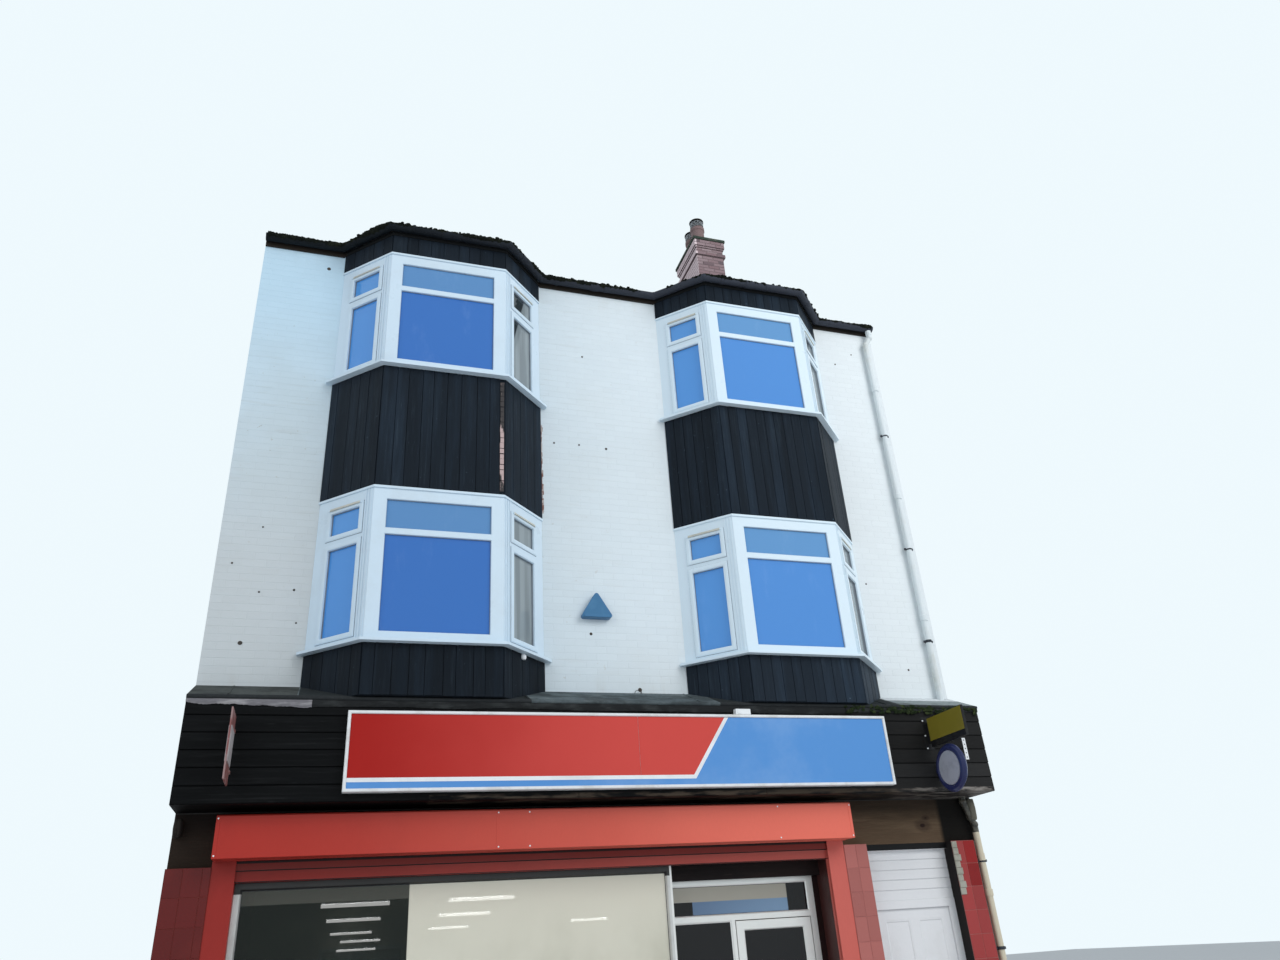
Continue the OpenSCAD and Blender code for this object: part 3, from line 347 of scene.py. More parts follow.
@dataclass(frozen=True)
class Mortar(Finish):
    """Mortar outside; painted plaster on the faces that look into the rooms."""

    room: Span = (3.71, 4.48)

    def colour(self, tree: Tree) -> Value:
        """Mortar colour, or plaster inside the rooms' half width and half depth."""
        inside = [place.maths("ABSOLUTE") < half for place, half in zip((tree.x, tree.y),
            self.room)]
        return super().colour(tree).under(inside[0] * inside[1], INDOORS)


@dataclass(frozen=True)
class Boards(Finish):
    """Stained boards: long grain streaks, thin bleached scratches, and a block's own tone."""

    streak: Point = (14.0, 14.0, 0.6)
    bleached: Colour = (0.1, 0.13, 0.15)
    bleach: float = 0.35
    fleck: float = 0.0

    def colour(self, tree: Tree) -> Value:
        """Stain, with streaks drawn out along the boards and thin bleached lines."""
        streaks = tree.noise(2.4, 6.0, self.streak, 0.7, 1.3).rise(0.5, 0.78)
        zones = tree.noise(0.9, 3.0, shift=6.0).rise(0.38, 0.62)
        lines = tree.noise(6.5, 3.0, self.streak, 0.5, 8.8).rise(0.7, 0.76)
        flecks = tree.noise(28.0, 2.0, shift=4.6).rise(0.735, 0.76) * self.fleck
        stain = super().colour(tree).under(streaks * zones * self.bleach, self.bleached)
        return stain.under(lines * 0.4 + flecks, self.bleached)

    def height(self, tree: Tree, grain: Value) -> Value:
        """Grain with the streaks' ridges."""
        return grain + tree.noise(7.0, 5.0, self.streak, 0.7, 1.3)


@dataclass(frozen=True)
class BayBoards(Boards):
    """The bays' boards, darker on the left apron and paler on the right one."""

    apron: float = 4.55

    def across(self, tree: Tree, colour: Value) -> Value:
        """The stain, dimmed or lifted below the lower sills."""
        lift = (tree.x > 0.0) * 0.85 - 0.35
        return colour.scaled(1.0 + (tree.z < self.apron) * lift)


@dataclass(frozen=True)
class FasciaPaint(Boards):
    """The fascia's boards, with a weathered strip of bare wood along their foot."""

    foot: float = 3.205
    bare: Colour = (0.06, 0.046, 0.034)
    flaked: Colour = (0.3, 0.28, 0.26)

    def across(self, tree: Tree, colour: Value) -> Value:
        """Stain going paler to the right as painted light and fading; bare wood below, and flaking
        white near the right end.
        """
        worn = tree.noise(9.0, 5.0, (0.35, 1.0, 2.5), 0.6, 3.3).rise(0.42, 0.6)
        bare = (tree.z < self.foot) * (tree.x > -1.9) * worn
        stain = super().across(tree, colour).under(bare, self.bare)
        return stain.under(bare * tree.x.rise(2.6, 3.3) * 0.8, self.flaked)


@dataclass(frozen=True)
class Peeling(Finish):
    """Flaking paint: two colours parted by a ragged edge that also lifts."""

    share: float = 0.5

    def flakes(self, tree: Tree) -> Value:
        """One where the flakes are off, else zero, with a narrow ragged edge."""
        cloud = tree.noise(self.patch_scale, 6.0, self.stretch, 0.65)
        return cloud.rise(self.share - 0.02, self.share + 0.03)

    def colour(self, tree: Tree) -> Value:
        """Worn where the flakes are off."""
        return tree.mix(self.flakes(tree), self.base, self.worn)

    def height(self, tree: Tree, grain: Value) -> Value:
        """Flakes stand out over the bare wood."""
        return grain * 0.3 + self.flakes(tree)


@dataclass(frozen=True)
class Rails(Finish):
    """The shutter guides' paint, with painted shade on the rails under the box and inside the
    entrance.
    """

    dark: Colour = (0.185, 0.02, 0.015)

    def across(self, tree: Tree, colour: Value) -> Value:
        """Paint going paler to the right, with painted shade on the rails, near black at their
        step and on the reveal.
        """
        rails = tree.x.within(-3.401, 2.061) * (tree.z > 2.6)
        step = tree.z.within(2.683, 2.69) + tree.z.within(2.6, 2.606) + (tree.z > 2.742)
        paint = super().across(tree, colour)
        # Painted shade under the shutter box, deepest at the rails' steps, and on the entrance
        # reveal.
        paint = paint.under(rails * (0.35 + 0.65 * (tree.z > 2.688)), self.dark)
        paint = paint.under(rails * step, (0.012, 0.004, 0.004))
        return paint.under((tree.y > -4.73) * (tree.x > 0.0), (0.055, 0.018, 0.016))


@dataclass(frozen=True)
class Tiles(Finish):
    """Glazed tiles, dull on the middle pilaster and brighter on the right one."""

    right: Colour = (0.315, 0.041, 0.04)
    single: Colour = (0.24, 0.008, 0.008)

    def across(self, tree: Tree, colour: Value) -> Value:
        """Glaze going paler to the right as painted light and fading, with two deep red tiles at
        the right pilaster's head.
        """
        glaze = super().across(tree, colour).under(tree.x > 3.0, self.right)
        return glaze.under((tree.x > 3.656) * (tree.z > 2.28), self.single)


class Grout(Finish):
    """Joints of the tiles, with painted shade near black on the right pilaster's inner side."""

    def across(self, tree: Tree, colour: Value) -> Value:
        """Joint colour, and painted shade on the reveal."""
        reveal = tree.x.within(3.5, 3.518) * (tree.y > -4.797)
        return super().across(tree, colour).under(reveal, (0.016, 0.014, 0.014))


class Lead(Finish):
    """Weathered lead: dark on the rolled edge, painted at the right end of its top."""

    def colour(self, tree: Tree) -> Value:
        """Grey lead, darker at the left end, paler at the right, with painted shade under the bays
        and soot in patches between them.
        """
        soot = tree.noise(5.0, 5.0, (0.6, 1.0, 1.0), 0.6, 6.4).rise(0.42, 0.62)
        bays = tree.x.within(-3.05, -1.0) + tree.x.within(0.9, 3.0)
        roll = (tree.y < -5.13) * (1.0 - tree.x.within(-1.0, 0.9) * 0.8)
        lead = super().colour(tree).under(tree.x < -3.06, (0.07, 0.077, 0.074))
        lead = lead.under((tree.x > 2.95) * 0.7, (0.29, 0.33, 0.34))
        # Painted shade under the bays; soot in patches elsewhere.
        lead = lead.under(bays * 0.9 + (1.0 - bays) * soot * 0.55, (0.014, 0.016, 0.017))
        lead = lead.under(roll, (0.03, 0.033, 0.035))
        strip = tree.x.within(3.0, 3.95) * (tree.z > 4.17) * (tree.z < 4.3)
        return lead.under(strip, (0.6, 0.64, 0.66))


@dataclass(frozen=True)
class OldBeam(Boards):
    """The old beam: near black at the left, brown with rings round its knots at the right."""

    knots: Tuple[Point, ...] = ((3.28, 2.892, 1.0), (3.33, 2.965, 2.0))

    def colour(self, tree: Tree) -> Value:
        """Streaked wood, each knot by distance, painted shadow along the top, and the dark left
        and right parts.
        """
        wood = super().colour(tree)
        waves = tree.noise(9.0, 4.0, (0.5, 1.0, 1.4), shift=9.1)
        for x, z, tight in self.knots:
            across, up = (tree.x - x) * 0.55, tree.z - z
            reach = (across * across + up * up).maths("SQRT") * tight + (waves - 0.5) * 0.05
            wood = wood.under(reach.rise(0.075, 0.03) * 0.55, (0.04, 0.024, 0.018))
            wood = wood.under(reach.rise(0.022, 0.01) * 0.85, (0.02, 0.01, 0.01))
        # Painted shadow along the top, under the fascia.
        top = (tree.z + waves * 0.1).rise(2.96, 3.16)
        wood = wood.under(top * 0.8, (0.02, 0.015, 0.012))
        wood = wood.under(tree.x.rise(3.46, 3.53), (0.01, 0.009, 0.008))
        return wood.under(tree.x.rise(1.0, -1.0) * 0.85, (0.014, 0.011, 0.01))


class Silver(Finish):
    """Silver frames, with painted shade on the shop window's head."""

    def colour(self, tree: Tree) -> Value:
        """Grey metal, near black over the window as painted shade, paler at the entrance, dark by
        its guide.
        """
        metal = super().colour(tree).under((tree.x > 0.41) * 0.75, (0.88, 0.88, 0.85))
        metal = metal.under(tree.x > 1.995, (0.022, 0.008, 0.008))
        # Painted shade on the window's head under the rails.
        head = (tree.z > 2.515) * (tree.x < 0.41)
        return metal.under(head * 0.95, (0.012, 0.011, 0.011))


class PipePaint(Finish):
    """The front pipe: white above, dark and mossy under the fascia, cream at the foot."""

    def across(self, tree: Tree, colour: Value) -> Value:
        """White, then dark from the fascia's underside down, then cream."""
        moss = tree.noise(24.0, 4.0, shift=2.7).rise(0.4, 0.6)
        dark = tree.mix(moss, (0.03, 0.03, 0.024), (0.1, 0.095, 0.075))
        pipe = super().across(tree, colour).under(tree.z < 3.2, dark)
        return pipe.under(tree.z < 2.8, (0.6, 0.54, 0.41))


@dataclass(frozen=True)
class RoomFloor(Finish):
    """An upper floor: boards on top and a plaster ceiling under it."""

    underside: float = 0.0
    board: float = 0.14

    def colour(self, tree: Tree) -> Value:
        """Boards with dark joints, or plaster near the underside."""
        across = tree.x / self.board
        joint = (across - across.maths("FLOOR")).rise(0.03, 0.0)
        boards = super().colour(tree).under(joint, (0.05, 0.03, 0.02))
        return tree.mix(tree.z > self.underside + 0.02, (0.74, 0.73, 0.7), boards)


@dataclass(frozen=True)
class Glazing:
    """Window glass: a sheet whose body colour, a painted reflection, shifts from left to right,
    with smears on it.
    """

    name: str
    left: Colour
    right: Colour
    span: Span = (-1.6, 0.9)
    alpha: float = 0.85
    smear: Colour = (0.5, 0.62, 0.72)
    gloss: float = 0.45

    def body(self, tree: Tree) -> Value:
        """Painted reflection as the body colour, from the left one to the right one, with a slow
        cloudiness.
        """
        cloud = tree.noise(0.5, 3.0, (1.0, 1.0, 0.5), shift=2.2) - 0.5
        return tree.mix((tree.x + cloud).rise(*self.span), self.left, self.right)

    def make(self) -> bpy.types.Material:
        """Writes the glass as a material."""
        tree = Tree(self.name)
        smears = tree.noise(4.0, 6.0, (1.0, 1.0, 0.35), 0.65).rise(0.55, 0.85)
        tree.bump(tree.noise(1.3, 2.0), 0.002)
        return tree.shade(ior=1.52, specular_ior_level=self.gloss, roughness=0.03 + smears * 0.1,
            base_color=self.body(tree).under(smears * 0.1, self.smear), alpha=self.alpha + smears
            * 0.06)


@dataclass(frozen=True)
class BayGlazing(Glazing):
    """Bay glass: a brighter painted reflection in the left cants, and grey with curtain folds in
    the right ones.
    """

    bright: Colour = (0.11, 0.39, 0.9)
    curtain: Colour = (0.38, 0.44, 0.46)
    fold: Colour = (0.24, 0.28, 0.3)
    fanlight: Colour = (0.17, 0.38, 0.6)
    unlit: Colour = (0.035, 0.045, 0.05)

    def body(self, tree: Tree) -> Value:
        """The painted reflection, brighter in the fanlights and left cants, curtains in the right
        cants, and the unlit room dark beside the curtain.
        """
        left = tree.x.within(-3.06, -2.55) + tree.x.within(0.75, 1.26)
        right = tree.x.within(-1.27, -0.76) + tree.x.within(2.54, 3.06)
        top = tree.z.within(5.64, 6.3) + tree.z.within(8.59, 9.3)
        folds = tree.noise(9.0, 3.0, (1.0, 1.0, 0.05), 0.5, 4.4).rise(0.38, 0.62)
        inward = tree.x - (tree.x > 0.0) * 3.81 + 1.27
        wedge = (inward - 0.13 - (tree.z - 8.2) * 0.22).rise(0.01, -0.01)
        drape = tree.mix(folds * 0.7, self.fold, self.curtain)
        drape = drape.under((tree.z > 7.0) * wedge, self.unlit)
        body = super().body(tree).under(top * 0.55, self.fanlight)
        return body.under(left * 0.75, self.bright).under(right, drape)


@dataclass(frozen=True)
class ShopGlazing(Glazing):
    """The shop window: painted reflections and shade, dark at the left and pale right of an
    upright edge.
    """

    edge: float = -1.985

    def body(self, tree: Tree) -> Value:
        """Painted reflections over a dark room: olive black under a paler band, then cream with a
        cloudy olive foot.
        """
        cloud = tree.noise(1.1, 4.0, (1.0, 1.0, 0.8), shift=3.7)
        dark = tree.mix(cloud.rise(0.45, 0.7) * 0.5, self.left, (0.035, 0.04, 0.026))
        dark = dark.under(tree.z.rise(2.422, 2.432), (0.082, 0.085, 0.07))
        foot = cloud.rise(0.4, 0.75) * tree.z.rise(2.45, 1.7) * 0.35
        pale = tree.mix(foot, self.right, (0.22, 0.22, 0.13))
        return dark.under(tree.x.rise(self.edge - 0.004, self.edge + 0.004), pale)


@dataclass(frozen=True)
class EntranceGlazing(Glazing):
    """The entrance: near black panes of painted shade under a fanlight painted with a reflection,
    cream above dull blue.
    """

    cream: Colour = (0.43, 0.41, 0.35)

    def body(self, tree: Tree) -> Value:
        """Panes dark as painted shade, and the fanlight's two bands of painted reflection between
        its dark ends.
        """
        band = super().body(tree).under(tree.z.rise(2.28, 2.286), self.cream)
        lit = (tree.z > 2.13) * tree.x.rise(1.71, 1.7)
        lit = lit * (1.0 - (tree.z < 2.283) * tree.x.rise(0.7, 0.69))
        return tree.mix(lit, (0.008, 0.008, 0.009), band)


# A second colour along x stands for painted light from the right, together with some real fading.
FINISHES: Dict[str, Union[Finish, Glazing]] = {finish.name: finish for finish in (
    PaintedWall("wall_paint", (0.57, 0.68, 0.75), (0.52, 0.6, 0.635), 0.5, 0.7, 0.62, 0.35,
        grain=(160.0, 0.05, 0.0012), tone_spread=0.025, lit_and_faded=(0.78, 0.83, 0.85)),
    Brick("red_brick", (0.2, 0.075, 0.05), (0.4, 0.22, 0.16), 0.5, 0.9, 0.85,
        grain=(130.0, 0.2, 0.0015)),
    # The stack's bricks and mortar are darker and more purple than the wall's, matched to the
    # stack in shade: partly painted shade.
    Brick("stack_brick", (0.235, 0.155, 0.165), (0.39, 0.305, 0.32), 0.5, 2.0, 0.9, 0.2,
        grain=(130.0, 0.2, 0.002), pale=(0.3, 0.22, 0.235), soot=(0.155, 0.12, 0.135),
        soot_share=0.3, left_face=3.372, lit_face_tint=(1.0, 0.84, 0.87)),
    Mortar("mortar", (0.34, 0.31, 0.27), (0.2, 0.18, 0.16), 0.6, 1.6, 0.92,
        grain=(180.0, 0.2, 0.0012)),
    Finish("stack_mortar", (0.19, 0.145, 0.15), (0.26, 0.21, 0.21), 0.6, 1.6, 0.92, 0.2,
        grain=(180.0, 0.2, 0.0012)),
    Finish("roof_verge", (0.1, 0.095, 0.09), (0.06, 0.065, 0.055), 0.6, 1.6, 0.92, 0.2),
    Finish("roof_slates", (0.075, 0.078, 0.095), (0.15, 0.14, 0.115), 0.5, 2.2, 0.62,
        grain=(90.0, 0.35, 0.0008), tone_spread=0.7),
    Finish("ridge_tiles", (0.12, 0.1, 0.1), (0.24, 0.21, 0.16), 0.55, 3.0, 0.85,
        grain=(80.0, 0.2, 0.0008)),
    BayBoards("black_boards", (0.009, 0.0135, 0.02), (0.015, 0.024, 0.037), 0.7, 1.2, 0.6, 0.12,
        stretch=(5.0, 5.0, 0.35), grain=(24.0, 0.5, 0.0014), tone_spread=0.4,
        bleached=(0.055, 0.08, 0.105), fleck=0.7),
    FasciaPaint("fascia_boards", (0.002, 0.0022, 0.0025), (0.004, 0.0044, 0.0048), 0.7, 1.2, 0.6,
        0.1, stretch=(0.35, 5.0, 5.0), grain=(24.0, 0.5, 0.0014), tone_spread=0.8,
        streak=(0.6, 14.0, 14.0), bleached=(0.045, 0.046, 0.048), bleach=0.22,
        lit_and_faded=(0.024, 0.0235, 0.0235), span=(0.5, 3.9)),
    Peeling("peeled_paint", (0.05, 0.045, 0.045), (0.5, 0.38, 0.37), 1.0, 9.0, 0.8,
        stretch=(1.0, 1.0, 0.22), grain=(70.0, 0.2, 0.002), share=0.47),
    Peeling("bare_wall_edge", (0.5, 0.44, 0.42), (0.22, 0.11, 0.09), 1.0, 22.0, 0.85,
        stretch=(1.0, 1.0, 0.6), grain=(70.0, 0.2, 0.002)),
    Finish("white_frames", (0.6, 0.73, 0.84), (0.54, 0.63, 0.7), 0.4, 1.8, 0.3, 0.35,
        grain=(45.0, 0.03, 0.0002), coat=0.1, lit_and_faded=(0.72, 0.84, 0.92)),
    Finish("cream_vents", (0.56, 0.55, 0.48), (0.42, 0.42, 0.38), 0.5, 6.0, 0.45,
        grain=(70.0, 0.1, 0.0008)),
    Finish("black_seals", (0.035, 0.04, 0.05), (0.08, 0.08, 0.09), 0.5, 8.0, 0.6, 0.2),
    Finish("sash_gaps", (0.24, 0.28, 0.33), (0.16, 0.18, 0.21), 0.5, 8.0, 0.6),
    Finish("roofing_felt", (0.05, 0.05, 0.05), (0.09, 0.1, 0.075), 0.6, 1.6, 0.92),
    Finish("black_gutter", (0.005, 0.0075, 0.01), (0.01, 0.0135, 0.017), 0.8, 5.0, 0.55, 0.14,
        grain=(60.0, 0.7, 0.0008), lit_and_faded=(0.046, 0.052, 0.068), span=(-3.0, 1.6)),
    Finish("moss", (0.009, 0.011, 0.009), (0.024, 0.027, 0.017), 0.7, 14.0, 0.95, 0.1,
        grain=(150.0, 0.9, 0.005)),
    Finish("edge_moss", (0.014, 0.022, 0.01), (0.055, 0.07, 0.028), 0.8, 11.0, 0.95, 0.1,
        grain=(150.0, 0.9, 0.005)),
    TwoPart("eaves_board", (0.026, 0.02, 0.016), (0.014, 0.014, 0.011), 0.8, 4.0, 0.7, 0.2,
        stretch=(0.5, 3.0, 3.0), grain=(70.0, 0.5, 0.0008), axis="y", limit=-4.735, below=True,
        other=(0.012, 0.013, 0.014)),
    PipePaint("white_pipe", (0.7, 0.76, 0.78), (0.5, 0.5, 0.44), 0.6, 1.3, 0.38,
        grain=(70.0, 0.08, 0.0003)),
    Lead("lead", (0.11, 0.136, 0.146), (0.17, 0.2, 0.206), 0.7, 3.4, 0.85, 0.05,
        stretch=(1.0, 1.0, 1.6), grain=(30.0, 0.8, 0.003)),
    Finish("dark_lead", (0.016, 0.017, 0.018), (0.05, 0.055, 0.055), 0.6, 6.0, 0.7, 0.12,
        stretch=(0.5, 1.0, 1.6), grain=(40.0, 0.6, 0.003)),
    Finish("torn_lead", (0.17, 0.165, 0.18), (0.36, 0.35, 0.36), 0.8, 7.0, 0.6, 0.25,
        stretch=(0.5, 1.0, 2.4), grain=(50.0, 0.7, 0.004)),
    Finish("sign_red", (0.37, 0.012, 0.009), (0.4, 0.016, 0.012), 0.7, 0.8, 0.22, 0.15,
        grain=(70.0, 0.02, 0.0002), lit_and_faded=(0.62, 0.072, 0.06), span=(-2.7, 0.1)),
    Finish("sign_blue", (0.09, 0.28, 0.64), (0.2, 0.38, 0.7), 0.6, 0.6, 0.2, 0.3,
        grain=(70.0, 0.02, 0.0002), coat=0.05),
    Finish("sign_white", (0.82, 0.84, 0.86), (0.66, 0.67, 0.68), 0.5, 2.5, 0.3,
        grain=(70.0, 0.04, 0.0002)),
    Finish("sign_frame", (0.8, 0.81, 0.82), (0.55, 0.54, 0.51), 0.5, 5.0, 0.38,
        grain=(70.0, 0.12, 0.0004), metallic=0.2),
    Finish("shutter_red", (0.41, 0.028, 0.018), (0.34, 0.022, 0.015), 0.7, 0.9, 0.42, 0.3,
        stretch=(1.0, 1.0, 0.35), grain=(50.0, 0.08, 0.0003), coat=0.05, lit_and_faded=(0.8, 0.165, 0.115),
        span=(-3.6, 2.3)),
    Rails("guide_red", (0.3, 0.022, 0.016), (0.24, 0.018, 0.013), 0.7, 0.9, 0.42, 0.3,
        stretch=(1.0, 1.0, 0.35), grain=(50.0, 0.08, 0.0003), lit_and_faded=(0.58, 0.125, 0.1),
        span=(-3.6, 2.3)),
    Tiles("glazed_tiles", (0.115, 0.009, 0.008), (0.15, 0.015, 0.012), 0.6, 1.5, 0.25, 0.25,
        grain=(70.0, 0.05, 0.0003), tone_spread=0.22, coat=0.05, lit_and_faded=(0.4, 0.13, 0.115),
        span=(-3.4, 2.0)),
    Grout("tile_grout", (0.17, 0.036, 0.03), (0.13, 0.026, 0.022), 0.6, 3.0, 0.9, 0.2,
        lit_and_faded=(0.42, 0.16, 0.145), span=(-3.4, 2.0)),
    Silver("silver_frames", (0.64, 0.64, 0.62), (0.46, 0.46, 0.45), 0.5, 2.5, 0.4,
        grain=(90.0, 0.06, 0.0003), metallic=0.55),
    Finish("satin_steel", (0.6, 0.6, 0.61), (0.42, 0.42, 0.42), 0.4, 9.0, 0.28,
        grain=(220.0, 0.1, 0.0001), metallic=1.0),
    TwoPart("white_woodwork", (0.76, 0.765, 0.78), (0.64, 0.64, 0.64), 0.5, 1.6, 0.45, 0.2,
        stretch=(1.0, 1.0, 0.8), grain=(40.0, 0.05, 0.0006), tone_spread=0.05, limit=2.661,
        other=(0.004, 0.0035, 0.004)),
    Finish("concrete", (0.34, 0.33, 0.31), (0.22, 0.21, 0.2), 0.6, 1.2, 0.85),
    Finish("plaster", (0.72, 0.7, 0.66), (0.62, 0.6, 0.56), 0.5, 0.8, 0.85,
        grain=(70.0, 0.04, 0.0006)),
    OldBeam("old_beam", (0.115, 0.076, 0.048), (0.19, 0.13, 0.082), 0.8, 1.1, 0.8, 0.12,
        stretch=(0.4, 4.0, 6.0), grain=(20.0, 0.4, 0.003), streak=(0.4, 4.0, 5.0),
        bleached=(0.3, 0.215, 0.135), bleach=0.6),
    Boards("dark_head", (0.012, 0.009, 0.009), (0.022, 0.012, 0.011), 0.6, 1.4, 0.6, 0.12,
        stretch=(0.5, 4.0, 4.0), grain=(26.0, 0.5, 0.0008), streak=(0.7, 10.0, 10.0),
        bleached=(0.06, 0.045, 0.04), bleach=0.2),
    Finish("chimney_clay", (0.22, 0.15, 0.15), (0.33, 0.26, 0.26), 0.6, 5.0, 0.8,
        grain=(60.0, 0.3, 0.0008)),
    Finish("chimney_cap", (0.045, 0.062, 0.05), (0.11, 0.12, 0.1), 0.7, 5.0, 0.92, 0.2,
        grain=(45.0, 0.6, 0.004)),
    Finish("cowl_black", (0.022, 0.024, 0.028), (0.07, 0.06, 0.05), 0.5, 12.0, 0.45,
        grain=(70.0, 0.3, 0.0008), metallic=0.5),
    Finish("cowl_louvres", (0.7, 0.74, 0.78), (0.52, 0.55, 0.58), 0.5, 12.0, 0.4, metallic=0.4),
    Finish("alarm_blue", (0.045, 0.16, 0.31), (0.075, 0.21, 0.37), 0.6, 4.0, 0.4,
        grain=(70.0, 0.08, 0.0003)),
    Finish("sign_yellow", (0.2, 0.165, 0.02), (0.24, 0.2, 0.035), 0.6, 3.0, 0.35, 0.25,
        grain=(70.0, 0.06, 0.0002)),
    Finish("sign_black", (0.01, 0.01, 0.011), (0.025, 0.025, 0.022), 0.6, 6.0, 0.42, 0.25),
    Finish("drum_blue", (0.018, 0.024, 0.09), (0.028, 0.036, 0.1), 0.6, 3.0, 0.3, 0.3,
        grain=(70.0, 0.05, 0.0002)),
    Finish("drum_face", (0.36, 0.38, 0.44), (0.25, 0.27, 0.32), 0.6, 7.0, 0.35,
        grain=(70.0, 0.1, 0.0002)),
    Peeling("faded_board", (0.22, 0.085, 0.08), (0.3, 0.19, 0.185), 1.0, 5.0, 0.5,
        grain=(70.0, 0.2, 0.0006)),
    Finish("grey_board", (0.46, 0.44, 0.45), (0.33, 0.28, 0.29), 0.6, 8.0, 0.4),
    Finish("weathered_stone", (0.3, 0.28, 0.24), (0.16, 0.15, 0.12), 0.7, 5.0, 0.9,
        grain=(70.0, 0.5, 0.004)),
    Finish("mossy_stone", (0.03, 0.026, 0.023), (0.018, 0.016, 0.014), 0.8, 9.0, 0.95, 0.15,
        grain=(60.0, 0.8, 0.006), lit_and_faded=(0.13, 0.125, 0.1), span=(-1.0, 1.0)),
    Finish("grey_strip", (0.36, 0.35, 0.3), (0.24, 0.24, 0.19), 0.6, 8.0, 0.85,
        grain=(70.0, 0.4, 0.002)),
    Finish("dark_marks", (0.05, 0.045, 0.04), (0.12, 0.08, 0.06), 0.6, 40.0, 0.9),
    RoomFloor("first_floor_boards", (0.3, 0.19, 0.11), (0.22, 0.14, 0.08), 0.6, 2.0, 0.6,
        stretch=(3.0, 0.3, 1.0), underside=3.52),
    RoomFloor("second_floor_boards", (0.3, 0.19, 0.11), (0.22, 0.14, 0.08), 0.6, 2.0, 0.6,
        stretch=(3.0, 0.3, 1.0), underside=6.49),
    Finish("lamp_diffuser", (0.9, 0.9, 0.88), (0.8, 0.8, 0.78), 0.3, 2.0, 0.5, glow=8.0),
    BayGlazing("upper_bay_glass", (0.035, 0.175, 0.56), (0.085, 0.3, 0.74)),
    ShopGlazing("shop_glass", (0.004, 0.008, 0.005), (0.8, 0.78, 0.66), (-2.9, 0.6), 0.8,
        (0.3, 0.31, 0.28), 0.22),
    EntranceGlazing("entrance_glass", (0.13, 0.21, 0.34), (0.22, 0.35, 0.52), (0.4, 2.0), 0.85,
        (0.3, 0.31, 0.28), 0.3),
    Glazing("rear_glass", (0.1, 0.17, 0.25), (0.14, 0.22, 0.32), (-3.0, 3.0), 0.75),
)}


@lru_cache(maxsize=None)
def material_of(finish: str) -> bpy.types.Material:
    """The finish's material, made once."""
    return FINISHES[finish].make()


def place(thing: Union[bpy.types.Mesh, bpy.types.Light, bpy.types.Camera]) -> bpy.types.Object:
    """Puts a mesh, light or camera into the scene as an object of its name."""
    made = bpy.data.objects.new(thing.name, thing)
    bpy.context.scene.collection.objects.link(made)
    return made


# Shapes

@dataclass(frozen=True)
class Plane:
    """A flat face seen from outside: u runs across it, v runs up it, and depth comes out of it."""

    origin: Point
    across: Point = (1.0, 0.0, 0.0)
    up: Point = (0.0, 0.0, 1.0)

    def at(self, u: Amount, v: Amount, depth: Amount) -> np.ndarray:
        """Points of the face.

        The point is origin + u across + v up + depth out, where out = across x up.

        Args:
            u: Distances across.
            v: Distances up.
            depth: Distances out of the face.

        Returns:
            An array of points, shaped as the three distances together.
        """
        u, v, depth = (part[..., None] for part in np.broadcast_arrays(u, v, depth))
        return (np.asarray(self.origin) + u * np.asarray(self.across) + v * np.asarray(self.up)
            + depth * np.cross(self.across, self.up))


